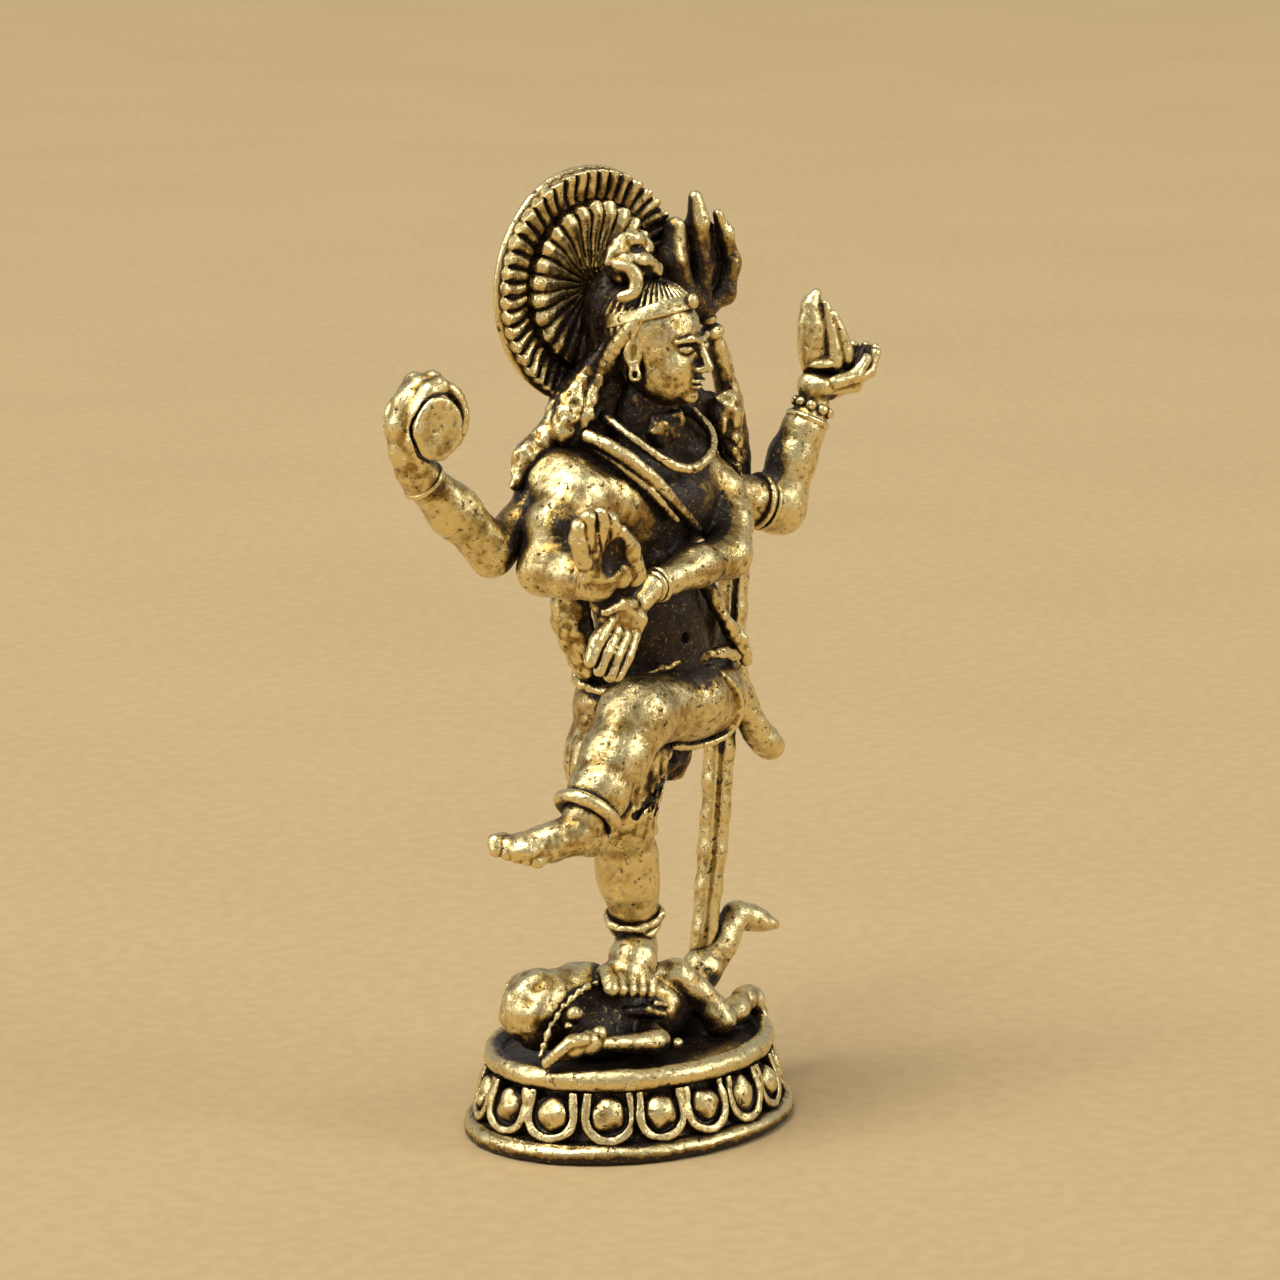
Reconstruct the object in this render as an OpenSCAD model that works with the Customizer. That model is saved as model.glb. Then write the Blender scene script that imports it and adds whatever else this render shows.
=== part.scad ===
// Solid brass figurine of a four-armed dancer standing on a dwarf, on an oval
// lotus pedestal. Millimetres, +Z up, the dancer faces -Y, and the origin is
// the centre of the pedestal's underside. Names say the dancer's own left
// (+X) and right (-X).

/* [Pedestal] */
// length of the oval foot flange along X
base_len = 20.6; // [20:0.1:21.2]
// height of the foot flange
flange_h = 1.1; // [0.9:0.1:1.3]
// top of the petal band
band_top = 3.9; // [3.8:0.1:4.0]
// number of lotus petals round the band
petal_count = 17; // [15:1:19]

/* [Halo] */
// outer radius of the hair halo
halo_r = 6.5; // [6.2:0.1:6.6]
// number of long outer hair strands
outer_strands = 44; // [36:1:46]
// number of short inner hair strands
inner_strands = 24; // [18:1:26]

/* [Trident] */
// radius of the staff at its middle
staff_r = 0.8; // [0.7:0.05:0.9]

/* [Hidden] */
$fn = 48;
brass = [0.72, 0.6, 0.33];
dark_brass = [0.42, 0.33, 0.2];

base_a = base_len / 2;
base_oval = 0.79;            // depth of the pedestal over its length
rim_a = base_a - 1.3;
bead_r = 0.55;
plate_top = band_top + 0.8;

// Joints of the dancer and the dwarf. Each is the centre of a rounded end.
pelvis_c = [1.9, -0.3, 25.0];
chest_c = [0.3, 0.1, 34.9];
neck_low = [0.8, -0.2, 38.0];
neck_high = [1.1, -0.8, 41.6];
head_c = [1.2, -1.2, 44.6];
halo_c = [-0.6, 3.3, 47.8];

hip_r = [-0.2, -0.2, 23.6];
knee_r = [-1.5, -0.8, 18.3];
ankle_r = [0.5, 0.1, 11.4];
toe_r = [-2.7, -2.8, 8.8];
hip_l = [5.0, -0.8, 24.0];
knee_l = [-2.6, -3.4, 24.8];
ankle_l = [-7.2, -4.4, 19.7];
toe_l = [-11.9, -2.3, 18.5];

front_shoulder_r = [-4.7, -0.8, 36.9];
front_elbow_r = [-7.3, -1.4, 33.1];
front_wrist_r = [-7.1, -5.8, 33.3];
front_shoulder_l = [6.3, -0.8, 35.7];
front_elbow_l = [4.6, -3.6, 32.4];
front_wrist_l = [-2.8, -5.0, 31.7];
back_shoulder_r = [-4.8, 1.6, 37.0];
back_elbow_r = [-9.2, 0.8, 33.9];
back_wrist_r = [-14.0, 0.9, 38.6];
back_shoulder_l = [3.6, 1.3, 36.5];
back_elbow_l = [12.2, 0.5, 33.8];
back_wrist_l = [14.1, 0.0, 39.2];
back_palm_l = [16.4, -0.2, 40.7];
back_tip_l = [18.6, -0.4, 42.3];

staff_path = [[7.1, 2.2, plate_top], [8.4, 2.2, 14], [9.1, 2.2, 22], [10.0, 2.2, 30], [10.1, 2.2, 37],
  [9.2, 2.0, 41], [7.8, 1.6, 44.2]];
drum_c = [-14.4, 0.1, 41.7];
flame_c = [15.4, 0.2, 41.7];

dwarf_head_c = [-5.7, 0.9, 7.7];
dwarf_chest_c = [-2.2, -0.3, 6.4];
dwarf_hip_c = [3.0, 0.3, 6.2];
dwarf_knee_c = [4.6, -2.5, 5.7];
dwarf_ankle_c = [7.7, -1.3, 5.7];
dwarf_far_hip = [5.4, 1.6, 6.0];
dwarf_far_ankle = [10.1, 2.2, 9.2];
dwarf_far_toe = [12.7, 2.0, 8.7];

// ---------------------------------------------------------------- helpers
function mix(a, b, t) = a + (b - a) * t;

// A quarter-round end of radius r at height z, as profile points.
function round_end(z, r) = [for (i = [0:5]) [r * cos(18 * i), z + r * sin(18 * i)]];

// Draws its children with local +Z running from a towards b.
module along(a, b) {
  d = b - a;
  translate(a) rotate([0, acos(d[2] / norm(d)), atan2(d[1], d[0])]) children();
}

// A limb of round section from a to b: radius ra at a, rm on the way, and a
// ball of radius rb at b. Its start is flat, to be cut by the piece before it.
module limb(a, b, ra, rm, rb) {
  len = norm(b - a);
  along(a, b) rotate_extrude()
    polygon(concat([[0, 0], [ra, 0], [rm, len * 0.4]], round_end(len, rb)));
}

module ball(c, r) {
  translate(c) sphere(r);
}

// A row of n fingers or toes: their roots are spread from a0 to a1 and their
// tips from b0 to b1.
module digits(n, a0, a1, b0, b1, r) {
  for (i = [0:n - 1]) limb(mix(a0, a1, i / (n - 1)), mix(b0, b1, i / (n - 1)), r, r, r * 0.9);
}

// An ellipsoid with half-axes s.
module egg(c, s) {
  translate(c) scale(s) sphere(1);
}

// A bangle that fits the tapered part of such a limb, centred at the share t
// of its length. The bore follows the limb's own taper.
module bangle(a, b, rm, rb, t, wide, thick) {
  len = norm(b - a);
  low = t - wide / len / 2;
  high = t + wide / len / 2;
  low_r = mix(rm, rb, (low - 0.4) / 0.6);
  high_r = mix(rm, rb, (high - 0.4) / 0.6);
  along(a, b) rotate_extrude() polygon([
    [low_r, low * len], [low_r + thick * 0.7, low * len], [low_r + thick, mix(low, high, 0.3) * len],
    [high_r + thick, mix(low, high, 0.7) * len], [high_r + thick * 0.7, high * len], [high_r, high * len]]);
}

// A round wire along a chain of points, with balls at the bends.
module wire(points, r) {
  for (i = [0:len(points) - 2]) {
    along(points[i], points[i + 1]) cylinder(h = norm(points[i + 1] - points[i]), r = r * 0.97);
  }
  for (p = points) ball(p, r);
}

module oval() {
  scale([1, base_oval, 1]) children();
}

// --------------------------------------------------------------- pedestal
module foot_flange() {
  color(brass) difference() {
    union() {
      translate([0, 0, -1]) linear_extrude(flange_h + 0.7) scale([1, base_oval]) circle(base_a);
      linear_extrude(flange_h) scale([1, base_oval]) circle(base_a - 0.3);
    }
    translate([-20, -20, -5]) cube([40, 40, 5]);
  }
}

band_low_a = base_a - 0.95;
band_high_a = rim_a - 0.5;
band_h = band_top - flange_h;
module lotus_band() {
  color(dark_brass) oval() translate([0, 0, flange_h])
    cylinder(h = band_h, r1 = band_low_a, r2 = band_high_a);
}

// A frame on the band's wall for petal k, with +Z out of the wall and +Y up
// it. The petals are spaced evenly along the oval, not by angle.
band_a = (band_low_a + band_high_a) / 2;
band_b = band_a * base_oval;
module on_band(k) {
  even = 360 * (k + 0.5) / petal_count;
  t = even + 90 / PI * (band_a - band_b) / (band_a + band_b) * sin(2 * even);
  facing = atan2(sin(t) / band_b, cos(t) / band_a);
  reach = (band_low_a - band_high_a) * norm([cos(facing), base_oval * sin(facing)]);
  translate([band_a * cos(t), band_b * sin(t), flange_h + band_h / 2])
    rotate([0, 0, facing]) rotate([90 - atan2(reach, band_h), 0, 90]) children();
}

petal_w = PI * (band_a + band_b) / petal_count * 0.95;
petal_h = band_h * 0.92;
module petal_outline() {
  translate([0, (petal_w - petal_h) / 2]) circle(petal_w / 2);
  translate([-petal_w / 2, (petal_w - petal_h) / 2]) square([petal_w, petal_h - petal_w / 2]);
}

module lotus_petals() {
  color(brass) for (k = [0:petal_count - 1]) on_band(k) linear_extrude(0.4) difference() {
    petal_outline();
    translate([0, 0.25]) circle(petal_w / 2 - 0.32);
  }
}

module petal_bosses() {
  color(brass) for (k = [0:petal_count - 1]) on_band(k) translate([0, 0.25, 0])
    rotate_extrude() polygon(concat([[0, 0]], round_end(0, 0.85)));
}

module seat_plate() {
  color(dark_brass) translate([0, 0, band_top])
    linear_extrude(plate_top - band_top) scale([1, base_oval]) circle(rim_a - bead_r * 2);
}

module rim_bead() {
  color(brass) oval() translate([0, 0, band_top + bead_r])
    rotate_extrude() translate([rim_a - bead_r, 0]) circle(bead_r, $fn = 24);
}

// ------------------------------------------------------------------ dwarf
module below_plate() {
  translate([-15, -15, plate_top - 10]) cube([30, 30, 10]);
}

module dwarf_torso_body() {
  egg(mix(dwarf_chest_c, dwarf_hip_c, 0.5), [4.4, 2.5, 2.2]);
}

module dwarf_torso() {
  color(brass) difference() {
    dwarf_torso_body();
    below_plate();
  }
}

dwarf_head_r = 2.25;
module dwarf_head() {
  color(brass) difference() {
    ball(dwarf_head_c, dwarf_head_r);
    dwarf_torso_body();
    below_plate();
  }
}

// Beads on the near side of the head, in an arc.
module dwarf_necklace() {
  color(brass) difference() {
    for (i = [0:6]) {
      a = 36 * i + 20;
      limb(dwarf_head_c, dwarf_head_c + [1.3 * cos(a), -1.9, 1.3 * sin(a)], 0.34, 0.34, 0.34);
    }
    ball(dwarf_head_c, dwarf_head_r);
  }
}

module dwarf_forearm_body() {
  limb([-1.7, -4.2, 5.8], [-5.3, -3.9, 6.3], 0.75, 0.7, 0.6);
}

module dwarf_forearm() {
  color(brass) difference() {
    union() {
      dwarf_forearm_body();
      limb([-1.3, -2.4, 6.0], [-2.0, -4.1, 5.8], 0.8, 0.8, 0.8);
    }
    dwarf_torso_body();
  }
}

module dwarf_hand() {
  color(brass) difference() {
    limb([-5.4, -3.8, 6.2], [-7.6, -3.4, 6.1], 0.7, 0.9, 0.75);
    dwarf_forearm_body();
  }
}

module dwarf_girdle() {
  color(brass) difference() {
    limb([-2.4, -2.2, 7.1], [0.2, -2.3, 6.7], 0.5, 0.45, 0.45);
    dwarf_torso_body();
  }
}

module dwarf_near_thigh() {
  color(brass) difference() {
    limb([2.4, -0.6, 7.2], dwarf_knee_c, 1.3, 1.15, 0.9);
    dwarf_torso_body();
    below_plate();
  }
}

module dwarf_near_shin() {
  color(brass) difference() {
    union() {
      limb(dwarf_knee_c, dwarf_ankle_c, 0.85, 0.8, 0.7);
      egg(dwarf_ankle_c + [0.5, -0.2, 0], [0.8, 0.8, 0.5]);
    }
    ball(dwarf_knee_c, 0.9);
    below_plate();
  }
}

module dwarf_far_leg() {
  color(brass) difference() {
    limb(dwarf_far_hip, dwarf_far_ankle, 1.1, 0.95, 0.7);
    dwarf_torso_body();
    trident_staff_body();
    below_plate();
  }
}

module dwarf_far_foot() {
  color(brass) difference() {
    limb(dwarf_far_ankle, dwarf_far_toe, 0.65, 0.6, 0.45);
    ball(dwarf_far_ankle, 0.7);
  }
}

// ------------------------------------------------------------ dancer, legs
module standing_foot() {
  color(brass) difference() {
    union() {
      limb(ankle_r + [0.5, 0.7, -1.9], toe_r + [0.7, 0.6, 0.2], 1.2, 1.15, 1.1);
      ball(ankle_r + [0.4, 0.4, -1.4], 1.25);
      digits(5, toe_r + [-0.1, 1.3, 0], toe_r + [1.9, -0.2, 0], toe_r + [-0.8, 0.5, -0.1],
        toe_r + [1.0, -1.0, -0.1], 0.36);
    }
    dwarf_torso_body();
    standing_shin_body();
  }
}

module standing_shin_body() {
  limb(knee_r, ankle_r, 1.5, 1.6, 1.1);
}

module anklets() {
  color(brass) {
    bangle(knee_r, ankle_r, 1.75, 1.1, 0.94, 0.55, 0.32);
    bangle(knee_l, ankle_l, 1.65, 1.1, 0.88, 0.6, 0.42);
  }
}

module standing_shin() {
  color(brass) difference() {
    standing_shin_body();
    ball(knee_r, 1.9);
  }
}

module standing_thigh() {
  color(brass) difference() {
    limb(hip_r, knee_r, 2.6, 2.75, 1.9);
    pelvis_body();
  }
}

module pelvis_body() {
  egg(pelvis_c, [4.4, 3.2, 2.7]);
}

module pelvis() {
  color(brass) pelvis_body();
}

module raised_thigh() {
  color(brass) difference() {
    union() {
      limb(hip_l, knee_l, 2.5, 2.3, 1.9);
      ball(hip_l, 2.55);
    }
    pelvis_body();
    limb(hip_r, knee_r, 2.6, 2.75, 1.9);
  }
}

module raised_shin() {
  color(brass) difference() {
    limb(knee_l, ankle_l, 1.7, 1.65, 1.1);
    ball(knee_l, 1.9);
  }
}

module raised_foot() {
  heel = ankle_l + [0.6, -0.3, -1.1];
  color(brass) difference() {
    union() {
      ball(heel, 1.05);
      limb(heel, toe_l + [1.2, -0.5, 0], 1.0, 1.05, 0.8);
      digits(5, toe_l + [1.6, -1.6, 0], toe_l + [1.3, 0.3, 0], toe_l + [0.4, -1.5, 0],
        toe_l + [0, 0.2, 0.1], 0.36);
    }
    limb(knee_l, ankle_l, 1.7, 1.65, 1.1);
  }
}

module girdle_knot() {
  color(brass) difference() {
    egg([5.0, 1.0, 20.9], [1.3, 0.9, 1.3]);
    ball(hip_l, 2.55);
    limb(hip_l, knee_l, 2.5, 2.3, 1.9);
    limb(hip_r, knee_r, 2.6, 2.75, 1.9);
    pelvis_body();
  }
}

// ----------------------------------------------------------- dancer, trunk
module belly_body() {
  limb(pelvis_c, chest_c - [-0.3, 0.2, 2.6], 3.1, 3.15, 3.0);
}

module belly() {
  color(brass) difference() {
    belly_body();
    pelvis_body();
  }
}

module chest_body() {
  egg(chest_c, [4.8, 3.2, 4.2]);
}

module chest() {
  color(brass) difference() {
    chest_body();
    belly_body();
  }
}

module hip_sashes() {
  color(brass) difference() {
    union() {
      wire([[5.0, -1.6, 31.4], [5.9, -1.6, 28.8], [6.9, -1.5, 26.4]], 0.6);
      wire([[-3.7, 0.8, 31.4], [-3.8, 0.7, 29.2], [-2.9, 0.3, 26.6]], 0.8);
    }
    belly_body();
    pelvis_body();
  }
}

module sash_tail() {
  color(brass) difference() {
    limb([8.0, 0.9, 24.6], [12.2, 1.0, 19.2], 0.75, 0.85, 0.8);
    pelvis_body();
    ball(hip_l, 2.55);
    trident_staff_body();
  }
}

// The chain hangs in a loop on the chest, leaning with the chest's slope.
module necklace() {
  color(brass) difference() {
    translate([0.9, -1.6, 38.0]) rotate([52, 0, 0]) rotate_extrude() translate([2.3, 0]) circle(0.36, $fn = 20);
    chest_body();
    neck_body();
  }
}

module sacred_thread() {
  color(brass) difference() {
    wire([[-1.9, -1.9, 38.2], [0.3, -3.0, 36.0], [2.9, -3.2, 33.6]], 0.42);
    chest_body();
    translate([0.9, -1.6, 38.0]) rotate([52, 0, 0]) rotate_extrude() translate([2.3, 0]) circle(0.36, $fn = 20);
  }
}

module neck_body() {
  limb(neck_low, neck_high, 1.9, 1.65, 1.6);
}

module neck() {
  color(brass) difference() {
    neck_body();
    chest_body();
    head_body();
  }
}

// ------------------------------------------------------------ dancer, head
module head_profile() {
  polygon([[0, -3.2], [1.0, -3.05], [1.8, -2.4], [2.2, -1.4], [2.45, 0], [2.45, 0.8],
    [2.2, 1.9], [1.6, 2.7], [0.8, 3.15], [0, 3.25]]);
}

module head_body() {
  translate(head_c) rotate_extrude() head_profile();
}

module head() {
  color(brass) union() {
    head_body();
    limb(head_c + [0, -2.0, 0.5], head_c + [0, -2.5, -0.6], 0.35, 0.4, 0.45);
  }
}

module ears() {
  color(brass) difference() {
    for (side = [-1, 1])
      limb(head_c + [side * 2.35, 0.3, 0.7], head_c + [side * 2.3, 0.4, -1.3], 0.5, 0.55, 0.5);
    head_body();
  }
}

module diadem() {
  color(brass) translate(head_c) rotate_extrude() difference() {
    translate([2.25, 1.7]) circle(0.5, $fn = 20);
    head_profile();
  }
}

// Hair gathered behind the head, which carries the halo.
module hair_back() {
  color(brass) difference() {
    limb(head_c + [0, 0.4, 1.0], halo_c + [0.2, -0.4, -0.9], 2.0, 2.3, 1.9);
    translate(halo_c - [10, halo_t, 10]) cube([20, 10, 20]);
    head_body();
    translate(head_c) rotate_extrude() translate([2.25, 1.7]) circle(0.5, $fn = 20);
    topknot_body();
  }
}

topknot_c = [0.5, 0.3, 49.2];
module topknot_body() {
  limb(head_c + [-0.2, 0.4, 2.4], topknot_c, 1.5, 1.2, 1.4);
}

module topknot() {
  color(brass) difference() {
    topknot_body();
    head_body();
  }
}

module crescent() {
  color(brass) difference() {
    translate([0.2, -1.4, 49.0]) rotate([90, 0, 0]) rotate_extrude() translate([0.85, 0]) circle(0.3, $fn = 20);
    topknot_body();
    head_body();
  }
}

module hair_locks() {
  color(brass) difference() {
    union() {
      limb([-1.0, 0.4, 44.6], [-2.8, 1.2, 41.8], 1.1, 1.3, 1.5);
      limb([-2.8, 1.2, 41.8], [-3.8, 1.3, 39.9], 1.4, 1.5, 1.45);
      limb([4.6, 0.2, 42.4], [7.5, 0.0, 39.6], 0.8, 0.85, 0.85);
    }
    head_body();
    neck_body();
    chest_body();
    halo_body();
    trident_staff_body();
  }
}

// -------------------------------------------------------------------- halo
halo_t = 0.5;
module halo_body() {
  translate(halo_c) rotate([90, 0, 0]) cylinder(h = halo_t, r = halo_r, $fn = 72);
}

module halo_disc() {
  color(dark_brass) halo_body();
}

// Strands of hair stand on the halo's front face, spread evenly over it.
module strands(count, r0, r1, w0, w1) {
  translate(halo_c - [0, halo_t, 0]) rotate([90, 0, 0])
    for (i = [0:count - 1]) rotate([0, 0, 360 * (i + 0.5) / count])
      linear_extrude(0.4) polygon([[r0, -w0 / 2], [r1, -w1 / 2], [r1, w1 / 2], [r0, w0 / 2]]);
}

module halo_strands() {
  color(brass) {
    strands(outer_strands, halo_r * 0.74, halo_r * 0.985, 0.42, 0.62);
    strands(inner_strands, halo_r * 0.48, halo_r * 0.72, 0.4, 0.85);
  }
}

// ------------------------------------------------------------ dancer, arms
module front_arm_right_upper() {
  color(brass) difference() {
    union() {
      ball(front_shoulder_r, 1.85);
      limb(front_shoulder_r, front_elbow_r, 1.75, 1.75, 1.45);
    }
    chest_body();
  }
}

module front_arm_right_fore() {
  color(brass) difference() {
    limb(front_elbow_r, front_wrist_r, 1.25, 1.3, 0.95);
    ball(front_elbow_r, 1.45);
  }
}

module blessing_hand() {
  color(brass) difference() {
    union() {
      limb(front_wrist_r + [0, -0.3, 0.2], [-7.6, -6.5, 34.7], 0.95, 1.15, 1.2);
      digits(4, [-8.3, -6.5, 34.6], [-6.8, -6.5, 34.9], [-9.0, -6.7, 37.0], [-7.1, -6.7, 37.5], 0.38);
      limb([-6.7, -6.4, 34.0], [-6.1, -6.7, 36.0], 0.5, 0.45, 0.35);
    }
    limb(front_elbow_r, front_wrist_r, 1.25, 1.3, 0.95);
  }
}

module front_arm_left_upper() {
  color(brass) difference() {
    union() {
      ball(front_shoulder_l, 1.75);
      limb(front_shoulder_l, front_elbow_l, 1.65, 1.6, 1.35);
    }
    chest_body();
  }
}

module front_arm_left_fore_body() {
  limb(front_elbow_l, front_wrist_l, 1.2, 1.15, 0.85);
}

module front_arm_left_fore() {
  color(brass) difference() {
    front_arm_left_fore_body();
    ball(front_elbow_l, 1.35);
    chest_body();
  }
}

module bracelets() {
  color(brass) {
    for (t = [0.82, 0.91]) bangle(front_elbow_l, front_wrist_l, 1.15, 0.85, t, 0.5, 0.22);
    for (t = [0.82, 0.93]) bangle(back_elbow_l, back_wrist_l, 1.2, 0.85, t, 0.5, 0.26);
    bangle(back_elbow_r, back_wrist_r, 1.3, 0.9, 0.93, 0.6, 0.26);
  }
}

module pointing_hand() {
  color(brass) difference() {
    union() {
      limb(front_wrist_l + [-0.3, 0, -0.2], [-5.6, -5.3, 30.0], 0.9, 1.1, 1.15);
      digits(4, [-6.4, -5.3, 30.2], [-5.2, -5.4, 29.5], [-8.2, -5.4, 28.7], [-6.2, -5.5, 27.8], 0.38);
    }
    front_arm_left_fore_body();
    limb(front_elbow_r, front_wrist_r, 1.25, 1.3, 0.95);
  }
}

module back_arm_right_upper() {
  color(brass) difference() {
    union() {
      ball(back_shoulder_r, 1.8);
      limb(back_shoulder_r, back_elbow_r, 1.7, 1.65, 1.4);
    }
    chest_body();
    ball(front_shoulder_r, 1.85);
    limb(front_shoulder_r, front_elbow_r, 1.75, 1.75, 1.45);
  }
}

module back_arm_right_fore() {
  color(brass) difference() {
    limb(back_elbow_r, back_wrist_r, 1.25, 1.3, 0.9);
    ball(back_elbow_r, 1.4);
  }
}

// The hand curls round the waist of the drum from behind and above it.
module drum_hand() {
  color(brass) difference() {
    union() {
      limb(back_wrist_r + [-0.2, 0.1, 0.4], [-15.5, 0.7, 41.9], 0.9, 1.05, 1.1);
      digits(3, [-15.4, 0.0, 42.2], [-15.3, 1.3, 42.2], [-13.7, -0.4, 44.1], [-12.9, 1.0, 44.1], 0.45);
    }
    limb(back_elbow_r, back_wrist_r, 1.25, 1.3, 0.9);
    drum_body();
  }
}

module drum_body() {
  translate(drum_c + [0, 2.0, 0]) rotate([90, 0, 0]) rotate_extrude() polygon([
    [0, 0], [1.5, 0], [1.6, 0.5], [1.0, 1.8], [1.0, 2.2], [1.7, 3.5], [1.6, 4.0], [0, 4.0]]);
}

module drum() {
  color(brass) drum_body();
}

module back_arm_left_upper_body() {
  limb(back_shoulder_l, back_elbow_l, 1.75, 1.5, 1.35);
}

module back_arm_left_upper() {
  color(brass) difference() {
    back_arm_left_upper_body();
    chest_body();
    ball(front_shoulder_l, 1.75);
  }
}

module back_armlet_left() {
  color(brass) difference() {
    bangle(back_shoulder_l, back_elbow_l, 1.5, 1.35, 0.7, 0.6, 0.26);
    trident_staff_body();
  }
}

module back_arm_left_fore() {
  color(brass) difference() {
    limb(back_elbow_l, back_wrist_l, 1.2, 1.2, 0.85);
    ball(back_elbow_l, 1.35);
  }
}

module flame_hand_body() {
  limb(back_wrist_l + [0.3, 0, 0.5], back_palm_l, 0.85, 0.85, 0.8);
  digits(4, back_palm_l + [0, -0.9, 0], back_palm_l + [0, 0.7, 0],
    back_tip_l + [-0.4, -0.9, -0.4], back_tip_l + [0, 0.6, 0], 0.36);
}

module flame_hand() {
  color(brass) difference() {
    flame_hand_body();
    limb(back_elbow_l, back_wrist_l, 1.2, 1.2, 0.85);
  }
}

module flame() {
  color(brass) difference() {
    union() {
      along(flame_c - [0, 0, 0.9], [14.7, 0.2, 46.2]) rotate_extrude()
        polygon([[0, 0], [0.7, 0], [1.0, 1.3], [0.8, 2.6], [0.2, 5.0], [0, 5.1]]);
      along(flame_c - [0, 0, 0.9], [16.4, 0.2, 45.0]) rotate_extrude()
        polygon([[0, 0], [0.6, 0], [0.7, 1.3], [0.6, 2.4], [0.15, 4.1], [0, 4.2]]);
    }
    flame_hand_body();
  }
}

// ----------------------------------------------------------------- trident
module trident_staff_body() {
  wire(staff_path, staff_r);
}

module trident_staff() {
  color(brass) difference() {
    trident_staff_body();
    below_plate();
    back_arm_left_upper_body();
  }
}

staff_top = staff_path[len(staff_path) - 1];
module trident_collar() {
  color(brass) difference() {
    translate(staff_top - [0.2, 0, 0.2]) cylinder(h = 1.4, r1 = 1.2, r2 = 0.8);
    trident_staff_body();
  }
}

// Outline of one side blade, seen from the front, with its tip at the top.
module side_blade() {
  polygon([[0.2, 0.0], [1.6, 0.7], [2.4, 2.0], [2.5, 3.6], [1.8, 5.6], [1.4, 5.7], [1.5, 3.8],
    [1.3, 2.4], [0.2, 1.6]]);
}

module trident_head() {
  color(brass) translate(staff_top + [-0.7, 0.45, 1.2]) rotate([90, 0, 0]) linear_extrude(0.9) {
    polygon([[-0.5, 0], [0.5, 0], [0.6, 3.0], [0.1, 6.8], [-0.5, 6.8], [-0.6, 3.0]]);
    side_blade();
    mirror([1, 0]) side_blade();
  }
}

foot_flange();
lotus_band();
lotus_petals();
petal_bosses();
seat_plate();
rim_bead();
dwarf_torso();
dwarf_head();
dwarf_necklace();
dwarf_forearm();
dwarf_hand();
dwarf_girdle();
dwarf_near_thigh();
dwarf_near_shin();
dwarf_far_leg();
dwarf_far_foot();
standing_foot();
anklets();
standing_shin();
standing_thigh();
pelvis();
raised_thigh();
raised_shin();
raised_foot();
girdle_knot();
belly();
chest();
hip_sashes();
sash_tail();
necklace();
sacred_thread();
neck();
head();
ears();
diadem();
hair_back();
topknot();
crescent();
hair_locks();
halo_disc();
halo_strands();
front_arm_right_upper();
front_arm_right_fore();
blessing_hand();
front_arm_left_upper();
front_arm_left_fore();
bracelets();
pointing_hand();
back_arm_right_upper();
back_arm_right_fore();
drum_hand();
drum();
back_arm_left_upper();
back_armlet_left();
back_arm_left_fore();
flame_hand();
flame();
trident_staff();
trident_collar();
trident_head();
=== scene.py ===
"""Looks of a small cast brass dancer on a lotus pedestal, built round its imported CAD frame.

Every visible piece is sculpted here as a signed distance field in millimetres, and turned into a
mesh on a fine lattice. The dancer faces -Y; left and right are the dancer's own (+X and -X).
"""
import itertools
import math

import bpy
import numpy as np
from mathutils import Matrix, Vector


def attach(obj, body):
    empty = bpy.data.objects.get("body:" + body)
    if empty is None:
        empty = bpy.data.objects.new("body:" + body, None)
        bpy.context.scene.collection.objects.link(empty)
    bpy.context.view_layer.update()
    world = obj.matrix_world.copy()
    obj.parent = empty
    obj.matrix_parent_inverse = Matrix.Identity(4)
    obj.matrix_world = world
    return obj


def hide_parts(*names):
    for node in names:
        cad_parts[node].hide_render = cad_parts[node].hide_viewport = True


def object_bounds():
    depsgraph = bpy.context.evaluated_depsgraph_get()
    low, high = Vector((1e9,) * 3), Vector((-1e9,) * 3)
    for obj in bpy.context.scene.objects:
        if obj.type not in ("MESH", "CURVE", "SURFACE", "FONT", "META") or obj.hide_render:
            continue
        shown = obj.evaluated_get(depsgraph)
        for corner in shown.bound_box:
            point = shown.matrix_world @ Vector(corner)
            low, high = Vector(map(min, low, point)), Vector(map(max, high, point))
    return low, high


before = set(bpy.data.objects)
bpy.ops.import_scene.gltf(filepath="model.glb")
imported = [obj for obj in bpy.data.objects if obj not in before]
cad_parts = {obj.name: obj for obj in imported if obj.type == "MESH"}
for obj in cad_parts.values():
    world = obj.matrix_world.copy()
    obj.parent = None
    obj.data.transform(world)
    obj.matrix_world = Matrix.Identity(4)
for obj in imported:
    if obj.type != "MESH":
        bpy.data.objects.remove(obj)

CAD_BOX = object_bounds()
DESIGN_HEIGHT = 54.3  # mm, height that the numbers below were drawn at
UNIT = (CAD_BOX[1][2] - CAD_BOX[0][2]) / DESIGN_HEIGHT  # metres in one drawn millimetre
CELL = 0.095  # mm, lattice pitch for bodies and cloth
FINE = 0.07  # mm, lattice pitch for faces, hands and hair


# ------------------------------------------------------------------ distance fields
class Shape:
    """A distance function over an array of points (3, N), and the box that its surface lies in."""

    def __init__(self, function, low, high):
        self.function = function
        self.low = np.asarray(low, np.float32)
        self.high = np.asarray(high, np.float32)

    def __call__(self, p):
        return self.function(p)


def vec(v):
    return np.asarray(v, np.float32).reshape(3, 1)


def limb(a, b, ra, rb):
    """A round bar from a to b whose radius runs from ra to rb."""
    start, run = vec(a), vec(b) - vec(a)
    length2 = float((run * run).sum())

    def distance(p):
        q = p - start
        share = np.clip((q * run).sum(0) / length2, 0.0, 1.0)
        return np.sqrt(((q - run * share) ** 2).sum(0)) - (ra + (rb - ra) * share)

    ends = np.array([a, b], np.float32)
    wide = max(ra, rb)
    return Shape(distance, ends.min(0) - wide, ends.max(0) + wide)


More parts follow.
